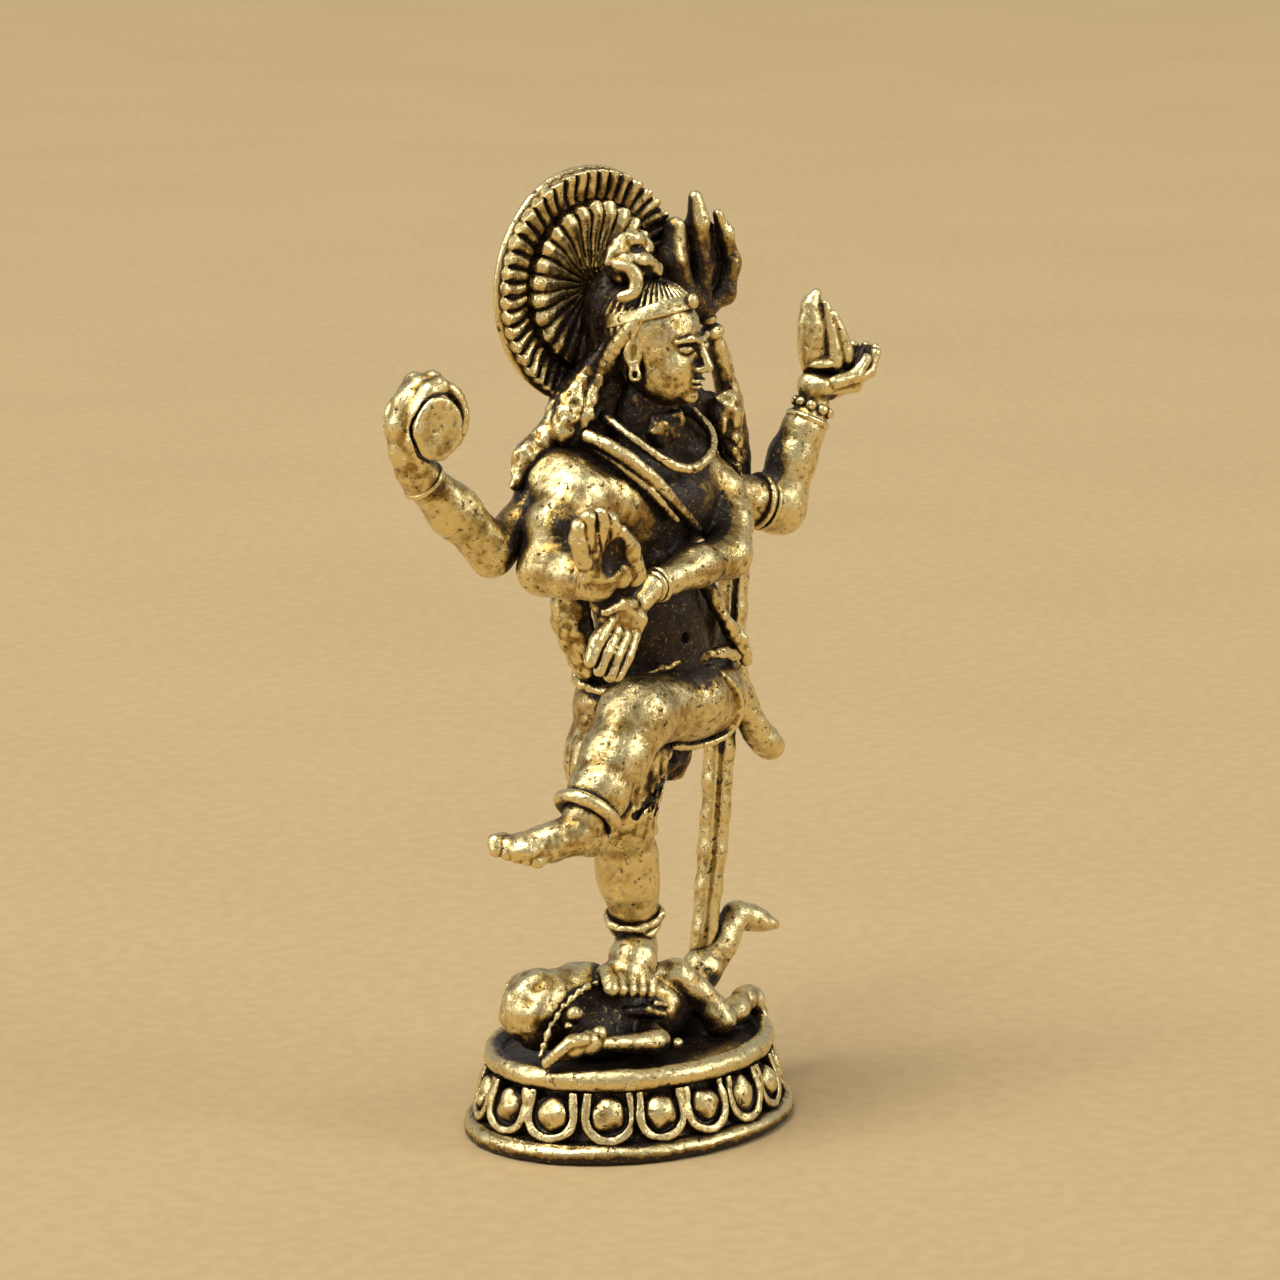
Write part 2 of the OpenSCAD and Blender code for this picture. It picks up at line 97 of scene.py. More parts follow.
def turn_matrix(turn):
    """Rotation matrix for turns in degrees about X, then Y, then Z."""
    rx, ry, rz = (math.radians(t) for t in turn)
    about_z = Matrix.Rotation(rz, 3, "Z")
    return np.array(about_z @ Matrix.Rotation(ry, 3, "Y") @ Matrix.Rotation(rx, 3, "X"), np.float32)


def egg(centre, half, turn=(0, 0, 0)):
    """An ellipsoid with the half-axes in half, turned in place."""
    c, r = vec(centre), vec(half)
    back = turn_matrix(turn).T

    def distance(p):
        q = back @ (p - c)
        near = np.sqrt(((q / r) ** 2).sum(0))
        slope = np.sqrt(((q / (r * r)) ** 2).sum(0)) + 1e-6
        return near * (near - 1.0) / slope

    reach = np.abs(turn_matrix(turn)) @ np.asarray(half, np.float32)
    return Shape(distance, np.asarray(centre) - reach, np.asarray(centre) + reach)


def slab(centre, half, rounding, turn=(0, 0, 0)):
    """A box with rounded edges."""
    c, r = vec(centre), vec(half) - rounding
    back = turn_matrix(turn).T

    def distance(p):
        q = np.abs(back @ (p - c)) - r
        outside = np.sqrt((np.maximum(q, 0.0) ** 2).sum(0))
        return outside + np.minimum(q.max(0), 0.0) - rounding

    reach = np.abs(turn_matrix(turn)) @ np.asarray(half, np.float32)
    return Shape(distance, np.asarray(centre) - reach, np.asarray(centre) + reach)


def ring(centre, axis, radius, wire):
    """A torus round an axis."""
    c = vec(centre)
    n = vec(axis) / float(np.linalg.norm(axis))

    def distance(p):
        q = p - c
        along = (q * n).sum(0)
        across = np.sqrt(np.maximum((q * q).sum(0) - along * along, 0.0))
        return np.sqrt((across - radius) ** 2 + along * along) - wire

    reach = (radius + wire) * np.ones(3)
    return Shape(distance, np.asarray(centre) - reach, np.asarray(centre) + reach)


def soft_min(a, b, k):
    """Smaller of two distances, with a fillet of size k where they meet."""
    mix = np.clip(0.5 + 0.5 * (b - a) / k, 0.0, 1.0)
    return b + (a - b) * mix - k * mix * (1.0 - mix)


def join(k, *shapes):
    """Union of shapes with a fillet of size k; k of 0 leaves the creases sharp."""

    def distance(p):
        total = shapes[0](p)
        for s in shapes[1:]:
            total = soft_min(total, s(p), k) if k else np.minimum(total, s(p))
        return total

    low = np.min([s.low for s in shapes], 0)
    high = np.max([s.high for s in shapes], 0)
    return Shape(distance, low - k * 0.3, high + k * 0.3)


def carve(k, body, tool):
    """body with tool taken away, edges softened by k."""

    def distance(p):
        return -soft_min(-body(p), tool(p), k)

    return Shape(distance, body.low, body.high)


def within(body, limit):
    """The part of body that lies in limit."""

    def distance(p):
        return np.maximum(body(p), limit(p))

    return Shape(distance, np.maximum(body.low, limit.low), np.minimum(body.high, limit.high))


def path(points, radii, k=0.3):
    """A smooth bar through points, with one radius at each."""
    bars = [limb(points[i], points[i + 1], radii[i], radii[i + 1]) for i in range(len(points) - 1)]
    return join(k, *bars)


def curve(points, steps):
    """Points of a smooth curve (Catmull-Rom) through the given ones."""
    pts = [np.asarray(q, float) for q in points]
    pts = [2 * pts[0] - pts[1]] + pts + [2 * pts[-1] - pts[-2]]
    out = []
    for i in range(1, len(pts) - 2):
        for s in range(steps):
            t = s / steps
            a, b, c, d = pts[i - 1 : i + 3]
            square, cube = 2 * a - 5 * b + 4 * c - d, 3 * b - a - 3 * c + d
            out.append(0.5 * (2 * b + (c - a) * t + square * t * t + cube * t**3))
    out.append(pts[-2])
    return out


def cord(points, radii, steps=4, k=0.1, at=None):
    """A bar along the smooth curve through points; its radii lie evenly, or at the shares of it in at."""
    line = curve(points, steps)
    at = np.linspace(0, 1, len(radii)) if at is None else at
    return path(line, np.interp(np.linspace(0, 1, len(line)), at, radii), k)


def beads(points, radius, gap):
    """Round beads strung along a curve, gap bead widths apart."""
    pts = curve(points, 24)
    spots = [pts[0]]
    for q in pts:
        if np.linalg.norm(q - spots[-1]) >= 2 * radius * gap:
            spots.append(q)
    return join(0.04, *[egg(q, (radius, radius, radius)) for q in spots])


FILLET_SINK = 0.008  # mm that the edge of a fillet lies under the skin of its trunk


def rooted(member, trunk, k):
    """member with a fillet where it grows out of trunk, as a closed piece of its own."""

    def distance(p):
        own = member(p)
        return np.maximum(soft_min(own, trunk(p), k) + FILLET_SINK, own - k)

    return Shape(distance, member.low - k, member.high + k)


def shift(point, x=0.0, y=0.0, z=0.0):
    """point moved by x, y and z."""
    return (point[0] + x, point[1] + y, point[2] + z)


def between(a, b, t):
    """The point that lies the share t of the way from a to b."""
    return tuple(np.asarray(a) + (np.asarray(b) - np.asarray(a)) * t)


# --------------------------------------------------------------------- noise
NOISE_CELLS = 24  # the noise repeats after so many lumps
NOISE = np.random.default_rng(7).uniform(-1, 1, (NOISE_CELLS,) * 3).astype(np.float32)


def noise(p, size):
    """Smooth noise from -1 to 1 over points (3, N), with lumps about size mm across."""
    q = p / size + 100.0
    cell = np.floor(q).astype(int)
    f = q - cell
    f = f * f * (3 - 2 * f)
    value = 0.0
    for corner in itertools.product((0, 1), repeat=3):
        x, y, z = (f[i] if far else 1 - f[i] for i, far in enumerate(corner))
        spot = tuple((cell[i] + far) % NOISE_CELLS for i, far in enumerate(corner))
        value = value + x * y * z * NOISE[spot]
    return value


# ------------------------------------------------------------------- meshing
BLOCK = 4  # lattice cells along one side of a block
BATCH = 200000  # lattice points worked out in one go


def sample(shape, pitch):
    """Distances on a lattice round shape, worked out only near its surface."""
    margin = 2.5 * pitch
    low = shape.low - margin
    blocks = np.ceil((shape.high + margin - low) / (pitch * BLOCK)).astype(int)
    steps = [(np.arange(n) + 0.5) * pitch * BLOCK + low[i] for i, n in enumerate(blocks)]
    centres = np.stack(np.meshgrid(*steps, indexing="ij")).reshape(3, -1).astype(np.float32)
    coarse = shape(centres).reshape(blocks)
    near = np.abs(coarse) < pitch * BLOCK * 1.6 + 0.1
    values = np.repeat(np.repeat(np.repeat(coarse, BLOCK, 0), BLOCK, 1), BLOCK, 2)
    values = np.pad(values, ((0, 1), (0, 1), (0, 1)), mode="edge").astype(np.float32)
    wanted = np.zeros(values.shape, bool)
    for i, j, k in np.argwhere(near) * BLOCK:
        wanted[i : i + BLOCK + 1, j : j + BLOCK + 1, k : k + BLOCK + 1] = True
    spots = np.argwhere(wanted)
    found = np.empty(len(spots), np.float32)
    for start in range(0, len(spots), BATCH):
        part = spots[start : start + BATCH]
        found[start : start + BATCH] = shape((part * pitch + low).T.astype(np.float32))
    values[wanted] = found
    return values, low


def surface_net(values, low, pitch):
    """Vertices and outward quads of the zero surface of a lattice of distances."""
    cells = np.array(values.shape) - 1
    total = int(cells.prod())
    sums = np.zeros((3, total))
    count = np.zeros(total)
    quads = []
    inside = values < 0
    for axis in range(3):
        u, v = (axis + 1) % 3, (axis + 2) % 3
        first = [slice(None)] * 3
        second = [slice(None)] * 3
        first[axis] = slice(0, -1)
        second[axis] = slice(1, None)
        here, there = inside[tuple(first)], inside[tuple(second)]
        at = np.argwhere(here != there)
        at = at[(at[:, u] > 0) & (at[:, v] > 0) & (at[:, u] < cells[u]) & (at[:, v] < cells[v])]
        a = values[tuple(at.T)]
        step = np.zeros(3, int)
        step[axis] = 1
        b = values[tuple((at + step).T)]
        spot = at.astype(float)
        spot[:, axis] += a / (a - b)
        corners = []
        for du, dv in ((0, 0), (1, 0), (1, 1), (0, 1)):
            cell = at.copy()
            cell[:, u] -= du
            cell[:, v] -= dv
            flat = np.ravel_multi_index(tuple(cell.T), tuple(cells))
            corners.append(flat)
            count += np.bincount(flat, minlength=total)
            for i in range(3):
                sums[i] += np.bincount(flat, weights=spot[:, i], minlength=total)
        corners = np.stack(corners, 1)
        outward = inside[tuple(at.T)]
        quads.append(np.where(outward[:, None], corners, corners[:, ::-1]))
    used = count > 0
    number = np.cumsum(used) - 1
    vertices = (sums[:, used] / count[used]).T * pitch + low
    return vertices, number[np.concatenate(quads)]


def make_mesh(name, vertices, quads):
    """A smooth-shaded mesh of quads, with its vertices in metres."""
    mesh = bpy.data.meshes.new(name)
    mesh.vertices.add(len(vertices))
    mesh.vertices.foreach_set("co", vertices.astype(np.float32).ravel())
    mesh.loops.add(quads.size)
    mesh.loops.foreach_set("vertex_index", quads.astype(np.int32).ravel())
    mesh.polygons.add(len(quads))
    mesh.polygons.foreach_set("loop_start", np.arange(0, quads.size, 4, dtype=np.int32))
    mesh.update()
    mesh.validate()
    mesh.polygons.foreach_set("use_smooth", np.ones(len(mesh.polygons), bool))
    return mesh


PIECES = []  # (name, shape, nodes it stands for, pitch, material slot, extra patina and painted shade)


# The last argument darkens a piece's colour with extra patina and painted shade; below 0 it lightens it.
def piece(name, shape, nodes, pitch=CELL, slot="brass", patina_and_shade=0.0):
    """Note down a piece, to be built once all of them are known."""
    PIECES.append((name, shape, nodes, pitch, slot, patina_and_shade))


# ------------------------------------------------------------------ pedestal
BASE_A = 10.3  # half length of the flange along X
OVAL = 0.79  # depth over length
BAND_LOW, BAND_TOP = 1.05, 3.95  # heights of the leaning wall
RIM_A, BEAD_R = 9.0, 0.55  # half length of the seat's rim along X, radius of its round edge
PETALS = 17
PETAL_HALF = 1.64  # half width of a petal
PETAL_MID = 2.45  # height of the petals' middle
PETAL_LEAN = math.radians(17)


def outside_oval(p, a):
    """Distance outwards from the upright oval of half length a."""
    r = np.sqrt(p[0] ** 2 + (p[1] / OVAL) ** 2) + 1e-6
    slope = np.sqrt(p[0] ** 2 + (p[1] / OVAL**2) ** 2) / r + 1e-6
    return (r - a) / slope


def oval_shape(function, a, z0, z1):
    return Shape(function, (-a, -a * OVAL, z0), (a, a * OVAL, z1))


def flange_distance(p):
    """The foot: a flat plate with a rounded edge, cut off level with the table."""
    u = outside_oval(p, BASE_A - 0.5)
    z = p[2] - 0.5 - 0.04 * noise(p, 3.0)
    edge = np.sqrt(np.maximum(u, 0.0) ** 2 + np.maximum(np.abs(z) - 0.05, 0.0) ** 2) - 0.48
    lift = np.clip(-u - 0.2, 0.0, 0.8) * 0.25
    top = np.maximum(u, np.abs(p[2] - 0.55) - 0.55 - lift * (p[2] > 0.5))
    return np.maximum(soft_min(edge, top, 0.15), 0.02 - p[2])


BAND_A = RIM_A - 0.75  # half length of the wall's top edge


def band_distance(p):
    """The wall that the petals stand on, leaning out towards its foot."""
    lean = 0.9 * (BAND_TOP - p[2]) / (BAND_TOP - BAND_LOW)
    hollow = 0.25 * np.sin(np.clip((p[2] - BAND_LOW) / (BAND_TOP - BAND_LOW), 0, 1) * math.pi)
    u = outside_oval(p, BAND_A) - lean + hollow
    return np.maximum(u, np.abs(p[2] - 2.5) - 1.75)


BAND_MID_A = BAND_A + 0.55  # half length of the oval that the petals' middles lie on
EVEN_STEP = (1 - OVAL) / (1 + OVAL)  # how far even spacing differs from even angles


def petal_frame(p):
    """Coordinates of points in the frame of their nearest petal: along the wall, up it, out of it."""
    t = np.arctan2(p[1] / OVAL, p[0])
    even = t - EVEN_STEP / 2 * np.sin(2 * t)
    k = np.floor(even * PETALS / (2 * math.pi)) + 0.5
    even_k = k * 2 * math.pi / PETALS
    t_k = even_k + EVEN_STEP / 2 * np.sin(2 * even_k)
    cx, cy = BAND_MID_A * np.cos(t_k), BAND_MID_A * OVAL * np.sin(t_k)
    nx, ny = np.cos(t_k) * OVAL, np.sin(t_k)
    n = np.sqrt(nx * nx + ny * ny)
    nx, ny = nx / n, ny / n
    across = -(p[0] - cx) * ny + (p[1] - cy) * nx
    out = (p[0] - cx) * nx + (p[1] - cy) * ny
    rise = p[2] - PETAL_MID
    lean_cos, lean_sin = math.cos(PETAL_LEAN), math.sin(PETAL_LEAN)
    return across, rise * lean_cos - out * lean_sin, out * lean_cos + rise * lean_sin, k


def petal_distance(p):
    """Each petal is a raised U with its round end down, and its sides pinched in at the top."""
    x, y, out, k = petal_frame(p)
    x = x + 0.1 * np.sin(k * 2.3)
    low = np.maximum(-(y + 0.05), 0.0)
    side = np.abs(x) * (1.0 + 0.1 * np.clip(y, 0, 2)) - PETAL_HALF + 0.32
    round_end = np.sqrt(x * x + low * low * 1.1) - PETAL_HALF + 0.32
    outline = np.abs(np.where(y < -0.05, round_end, side)) - 0.22
    beyond = np.maximum(np.abs(out - 0.12) - 0.3, 0.0)
    body = np.sqrt(np.maximum(outline + 0.08, 0.0) ** 2 + beyond**2) - 0.12
    lobe = np.sqrt((x / 1.15) ** 2 + ((y + 0.05) / 1.2) ** 2) - 1.0
    sheet = np.maximum(lobe, np.abs(out - 0.02) - 0.12)
    wobble = 0.06 * noise(p, 0.6)
    return np.maximum(soft_min(body, sheet, 0.1) + wobble, np.maximum(p[2] - 3.9, 1.0 - p[2]))


def boss_distance(p):
    """The round boss inside each petal."""
    x, y, out, _ = petal_frame(p)
    r = np.sqrt((x / 0.98) ** 2 + ((y - 0.15) / 1.1) ** 2 + (out / 0.78) ** 2)
    return (r - 1.0) * 0.7 + 0.1 * noise(p, 0.7)


def plate_distance(p):
    """The seat, a little dished inside its rim."""
    u = outside_oval(p, RIM_A - 0.5)
    dip = 0.12 * np.exp(-((u + 0.8) ** 2) / 0.3) + 0.05 * noise(p, 2.2)
    return np.maximum(u, np.abs(p[2] - 4.25 + dip) - 0.4)


def bead_distance(p):
    """The round edge of the seat."""
    u = outside_oval(p, RIM_A - BEAD_R)
    wobble = 0.05 * noise(p, 2.6)
    return np.sqrt((u * 0.95) ** 2 + ((p[2] - 4.45 + wobble) * 0.85) ** 2) - BEAD_R + 0.03 * noise(p, 1.7)


piece("pedestal_flange", oval_shape(flange_distance, BASE_A + 0.1, 0.0, 1.3), ["foot_flange"])
piece("pedestal_band", oval_shape(band_distance, 9.6, 0.7, 4.3), ["lotus_band"], slot="dark_brass", patina_and_shade=0.22)
piece("lotus_petals", oval_shape(petal_distance, 10.2, 0.9, 4.0), ["lotus_petals"], FINE * 1.2)
piece("petal_bosses", oval_shape(boss_distance, 10.2, 1.3, 4.0), ["petal_bosses"], FINE * 1.2)
piece("seat_plate", oval_shape(plate_distance, 8.6, 3.8, 4.8), ["seat_plate"], slot="dark_brass", patina_and_shade=0.22)
piece("rim_bead", oval_shape(bead_distance, RIM_A + 0.1, 3.8, 5.2), ["rim_bead"])


# ------------------------------------------------------------- shape builders
def placed(shape, origin, turn, size):
    """shape, drawn round the origin, enlarged by size, turned and then moved to its place."""
    o = vec(origin)
    matrix = turn_matrix(turn)

    def distance(p):
        return shape(matrix.T @ (p - o) / size) * size

    box = np.array(list(itertools.product(*zip(shape.low, shape.high))))
    corners = box @ matrix.T * size + np.asarray(origin)
    return Shape(distance, corners.min(0), corners.max(0))


def mirrored(centre, half):
    """An egg and its mirror image across the plane x = 0."""
    return join(0.0, egg(centre, half), egg((-centre[0], centre[1], centre[2]), half))


def roughened(shape, amount, size):
    """shape with soft lumps on it."""

    def distance(p):
        return shape(p) + amount * noise(p, size)

    return Shape(distance, shape.low - amount, shape.high + amount)


def lock(points, radii, strands, turns, depth):
    """A hair lock or rope: a bar through points, with strands twisted round it."""
    pts = np.array(curve(points, 10), np.float32)
    spots = np.linspace(0, len(radii) - 1, len(pts))
    wide = np.interp(spots, np.arange(len(radii)), radii)

    def distance(p):
        best = np.full(p.shape[1], 1e9, np.float32)
        phase = np.zeros(p.shape[1], np.float32)
        for i in range(len(pts) - 1):
            a, run = pts[i][:, None], (pts[i + 1] - pts[i])[:, None]
            share = np.clip(((p - a) * run).sum(0) / float((run * run).sum()), 0, 1)
            q = p - a - run * share
            d = np.sqrt((q * q).sum(0)) - (wide[i] + (wide[i + 1] - wide[i]) * share)
            forward = run / np.linalg.norm(run)
            side = np.cross(forward[:, 0], (0.3, 1.0, 0.2))
            side = (side / np.linalg.norm(side))[:, None]
            other = np.cross(forward[:, 0], side[:, 0])[:, None]
            angle = np.arctan2((q * other).sum(0), (q * side).sum(0))
            closer = d < best
            best = np.where(closer, d, best)
            twist = (i + share) / len(pts) * turns * math.pi
            phase = np.where(closer, angle * strands / 2 + twist, phase)
        return best + depth * (1 - np.abs(np.cos(phase)) ** 0.7)

    reach = max(radii)
    return Shape(distance, pts.min(0) - reach, pts.max(0) + reach)


def fingers(bases, bends, tips, thick, thin):
    """A row of bent fingers or toes that touch but don't melt together."""
    rows = [path([a, b, c], [thick, (thick + thin) / 2, thin], 0.1) for a, b, c in zip(bases, bends, tips)]
    return join(0.04, *rows)


def row(a, b, count):
    """Evenly spaced points from a to b."""
    return [between(a, b, i / (count - 1)) for i in range(count)]


def bangle(a, b, share, radius, wire):
    """A ring round the bar from a to b."""
    spot = between(a, b, share)
    return ring(spot, np.asarray(b) - np.asarray(a), radius, wire)


# --------------------------------------------------------------------- dwarf
# The dwarf lies on its back along the seat, head towards -X, and the dancer stands on its chest.
DWARF_HEAD = (-6.0, 0.9, 7.4)
above_seat = Shape(lambda p: 4.35 - p[2], (-10, -9, 4.35), (16, 9, 12))

dwarf_body = join(
    0.9,
    egg((-3.2, 0.5, 7.2), (3.0, 2.7, 2.45)),
    egg((0.4, 0.3, 6.4), (3.2, 2.9, 2.3)),
    egg((3.0, 0.5, 6.1), (2.4, 2.2, 1.8)),
    egg((-3.4, -1.4, 6.0), (2.2, 1.5, 1.5)),
)
dwarf_skull = join(
    0.5,
    egg(DWARF_HEAD, (2.3, 2.2, 2.35)),
    egg(shift(DWARF_HEAD, 0.5, 1.3, 0.3), (1.5, 1.3, 1.4)),
    egg(shift(DWARF_HEAD, 1.7, -0.2, 0.5), (1.6, 1.9, 1.5)),
)
GARLAND = [(-3.2, -1.4, 9.1), (-4.7, -1.5, 8.9), (-5.7, -1.4, 8.4), (-6.6, -1.3, 7.6), (-7.3, -1.3, 6.7),
           (-7.9, -1.4, 5.6)]
dwarf_thigh = path(
    [(1.3, -0.4, 8.0), (2.6, -1.0, 8.1), (3.6, -1.7, 7.2), (4.2, -2.4, 6.1), (4.5, -2.8, 5.5)],
    [1.0, 1.0, 0.9, 0.85, 0.9], 0.3)
dwarf_shin = path(
    [(4.4, -2.6, 5.4), (6.2, -2.1, 5.6), (7.3, -1.7, 6.0), (7.9, -1.5, 6.1)], [0.85, 0.78, 0.68, 0.6], 0.35)
dwarf_near_foot = join(
    0.25, egg((8.1, -1.5, 5.8), (0.8, 0.8, 0.8)),
    fingers(row((8.2, -1.8, 5.5), (8.7, -1.2, 5.7), 4), row((8.3, -2.0, 5.2), (8.9, -1.4, 5.3), 4),
            row((8.4, -2.2, 4.9), (9.0, -1.6, 4.95), 4), 0.26, 0.24))
dwarf_raised_leg = path([(5.2, 1.5, 6.0), (7.2, 1.8, 7.0), (9.0, 2.1, 8.5), (10.1, 2.2, 9.5)],
                        [1.2, 1.15, 1.05, 0.85], 0.4)
dwarf_raised_foot = join(
    0.3, egg((10.5, 2.2, 9.7), (1.0, 0.8, 0.8), (0, 20, 0)),
    path([(10.3, 2.2, 9.6), (11.4, 2.1, 9.35), (12.0, 2.0, 9.1)], [0.85, 0.78, 0.7], 0.3),
    fingers(row((11.9, 1.5, 9.0), (12.0, 2.5, 9.1), 4), row((12.4, 1.5, 8.9), (12.5, 2.5, 9.0), 4),
            row((12.8, 1.6, 8.8), (12.9, 2.4, 8.9), 4), 0.34, 0.3))
dwarf_arm = path(
    [(-1.0, -2.2, 6.0), (-1.5, -3.9, 5.7), (-2.0, -4.2, 5.8), (-3.4, -4.0, 6.0), (-5.4, -3.7, 6.3)],
    [0.8, 0.78, 0.72, 0.55, 0.48], 0.2)
dwarf_fist = join(
    0.12, egg((-6.2, -3.6, 6.5), (0.95, 0.65, 0.75), (0, 12, 8)),
    egg((-5.7, -3.8, 7.0), (0.5, 0.4, 0.45)), egg((-7.1, -3.4, 6.5), (0.8, 0.6, 0.7)),
    fingers(row((-6.9, -3.9, 6.9), (-7.2, -3.1, 6.0), 4), row((-7.7, -3.6, 6.8), (-7.9, -2.8, 5.9), 4),
            row((-8.3, -3.3, 6.3), (-8.5, -2.6, 5.6), 4), 0.36, 0.32))
dwarf_face = join(
    0.12,
    egg(shift(DWARF_HEAD, 0.3, 2.0, 0.7), (0.9, 0.55, 0.9)),
    limb(shift(DWARF_HEAD, 0.5, 2.4, 1.0), shift(DWARF_HEAD, 0.2, 2.75, 0.5), 0.18, 0.28),
    egg(shift(DWARF_HEAD, 1.1, 2.35, 1.05), (0.36, 0.26, 0.22)),
    egg(shift(DWARF_HEAD, -0.2, 2.2, 1.0), (0.36, 0.26, 0.22)),
    egg(shift(DWARF_HEAD, 0.15, 2.55, -0.05), (0.42, 0.24, 0.16)),
)

piece("dwarf_body", within(roughened(dwarf_body, 0.09, 0.8), above_seat), ["dwarf_torso"])
hair_groove = path(
    [(-7.2, -1.2, 8.7), (-8.0, -1.3, 8.0), (-7.9, -1.4, 7.0), (-7.2, -1.5, 6.2)], [0.16, 0.22, 0.2, 0.14])
dwarf_head = carve(0.15, roughened(join(0.1, dwarf_skull, dwarf_face), 0.15, 0.7), hair_groove)
piece("dwarf_skull", within(rooted(dwarf_head, dwarf_body, 0.4), above_seat), ["dwarf_head"])
dwarf_garland = join(
    0.05, beads(GARLAND, 0.26, 1.15), path(GARLAND, [0.16] * len(GARLAND)),
    egg((-6.1, -2.2, 7.8), (0.5, 0.4, 0.5)), egg((-6.7, -2.4, 7.3), (0.25, 0.25, 0.25)))
dwarf_garland = roughened(rooted(dwarf_garland, dwarf_body, 0.1), 0.08, 0.35)
piece("dwarf_garland", dwarf_garland, ["dwarf_necklace"], FINE)
dwarf_cloth = rooted(roughened(dwarf_thigh, 0.07, 0.6), dwarf_body, 0.35)
piece("dwarf_near_thigh", within(dwarf_cloth, above_seat), ["dwarf_near_thigh"], patina_and_shade=-0.3)
dwarf_near_leg = rooted(join(0.15, dwarf_shin, dwarf_near_foot), dwarf_thigh, 0.15)
piece("dwarf_near_shin", within(dwarf_near_leg, above_seat), ["dwarf_near_shin"], FINE, patina_and_shade=-0.3)
piece("dwarf_far_leg", rooted(roughened(dwarf_raised_leg, 0.12, 0.8), dwarf_body, 0.35), ["dwarf_far_leg"])
piece("dwarf_far_foot", rooted(dwarf_raised_foot, dwarf_raised_leg, 0.2), ["dwarf_far_foot"], FINE)
piece("dwarf_arm", within(rooted(dwarf_arm, dwarf_body, 0.3), above_seat), ["dwarf_forearm"])
piece("dwarf_fist", within(rooted(dwarf_fist, dwarf_arm, 0.15), above_seat), ["dwarf_hand"], FINE)
dwarf_girdle = join(
    0.15, path([(-2.5, -2.3, 7.3), (-1.2, -2.6, 7.2), (0.1, -2.6, 6.7)], [0.3, 0.36, 0.32]),
    path([(-0.6, -2.7, 7.5), (0.3, -2.6, 7.2)], [0.22, 0.26]), egg((-0.5, -4.5, 5.5), (0.45, 0.35, 0.35)))
piece("dwarf_girdle", rooted(dwarf_girdle, dwarf_body, 0.15), ["dwarf_girdle"], FINE)

# ---------------------------------------------------------------------- legs
HIP_R, KNEE_R, ANKLE_R = (-0.2, -0.2, 23.6), (-1.5, -0.8, 18.3), (0.5, 0.1, 11.4)
HIP_L, KNEE_L, ANKLE_L = (5.0, -0.8, 24.0), (-2.7, -3.5, 24.7), (-7.2, -4.4, 19.9)

standing_thigh = path([HIP_R, (-1.3, -0.3, 21.2), (-1.5, -0.6, 18.9), (-1.0, -0.6, 17.4)],
                      [2.9, 2.8, 2.25, 1.75], 0.8)


def folded(shape, count, depth, axis_point):
    """Cloth folds: shallow upright grooves round an upright axis."""

    def distance(p):
        angle = np.arctan2(p[1] - axis_point[1], p[0] - axis_point[0])
        wave = np.abs(np.sin(angle * count / 2 + 0.35 * noise(p, 2.4) + 0.2 * p[2]))
        return shape(p) + depth * (1 - wave**0.6) * (0.5 + 0.5 * noise(p + 9.0, 3.0))

    return Shape(distance, shape.low, shape.high)


standing_shin = join(
    0.6, path([(-1.1, -0.7, 17.8), (-0.4, -0.3, 15.6), (-0.1, -0.1, 14.0), (0.3, 0.0, 12.4), ANKLE_R],
              [1.5, 1.62, 1.62, 1.3, 1.1], 0.5),
    egg((-0.3, 0.4, 15.0), (1.45, 1.5, 2.2)),
    egg((-1.4, -1.3, 17.6), (0.9, 0.8, 0.9)))


def hem_point(turn):
    """Where the hem round the standing thigh lies at a turn in radians."""
    return (-1.1 + 1.8 * math.sin(turn), -0.6 + 1.6 * math.cos(turn), 17.5 + 0.35 * math.sin(2 * turn))


HEM_STEP = 0.7  # radians
thigh_hem = join(0.25, *[path([hem_point(t), hem_point(t + HEM_STEP)], [0.3, 0.3])
                         for t in np.arange(0, 6.2, HEM_STEP)])
standing_foot = join(
    0.45, limb(ANKLE_R, (0.5, 0.0, 9.6), 1.1, 1.1),
    egg((0.9, 0.5, 9.2), (1.0, 1.1, 0.95)),
    path([(0.2, -0.3, 10.1), (-0.9, -1.2, 9.8), (-1.8, -1.8, 9.3)], [1.2, 1.25, 1.05], 0.5),
    egg((-1.9, -1.7, 9.1), (1.75, 1.0, 0.85), (0, 10, -30)))
standing_toes = fingers(
    row((-0.9, -2.2, 9.0), (-3.2, -1.6, 9.5), 5), row((-1.0, -2.7, 8.8), (-3.6, -2.3, 9.3), 5),
    row((-1.2, -2.95, 8.35), (-3.9, -2.8, 9.0), 5), 0.5, 0.44)

raised_thigh = join(
    0.9, path([HIP_L, (2.2, -2.1, 24.6), KNEE_L], [2.45, 2.25, 1.95], 0.8),
    egg((-2.9, -3.7, 24.6), (1.9, 1.8, 1.9)))
raised_shin = path([KNEE_L, (-4.6, -3.9, 22.6), (-6.1, -4.2, 20.9), ANKLE_L], [1.85, 1.9, 1.65, 1.2], 0.5)
raised_foot = join(
    0.4, limb(ANKLE_L, (-7.5, -4.4, 18.9), 1.15, 1.05), egg((-6.9, -4.4, 18.5), (1.15, 1.0, 1.05)),
    path([(-7.8, -4.3, 18.9), (-9.4, -3.8, 18.55), (-10.7, -3.2, 18.4)], [1.2, 1.0, 0.75], 0.5),
    egg((-10.5, -3.2, 18.4), (1.35, 1.25, 0.78), (0, 0, 20)))
raised_toes = fingers(
    row((-11.3, -2.2, 18.7), (-9.8, -4.0, 18.15), 5), row((-11.9, -2.3, 18.75), (-10.2, -4.1, 18.05), 5),
    row((-12.0, -2.5, 18.35), (-10.5, -4.15, 17.8), 5), 0.5, 0.44)
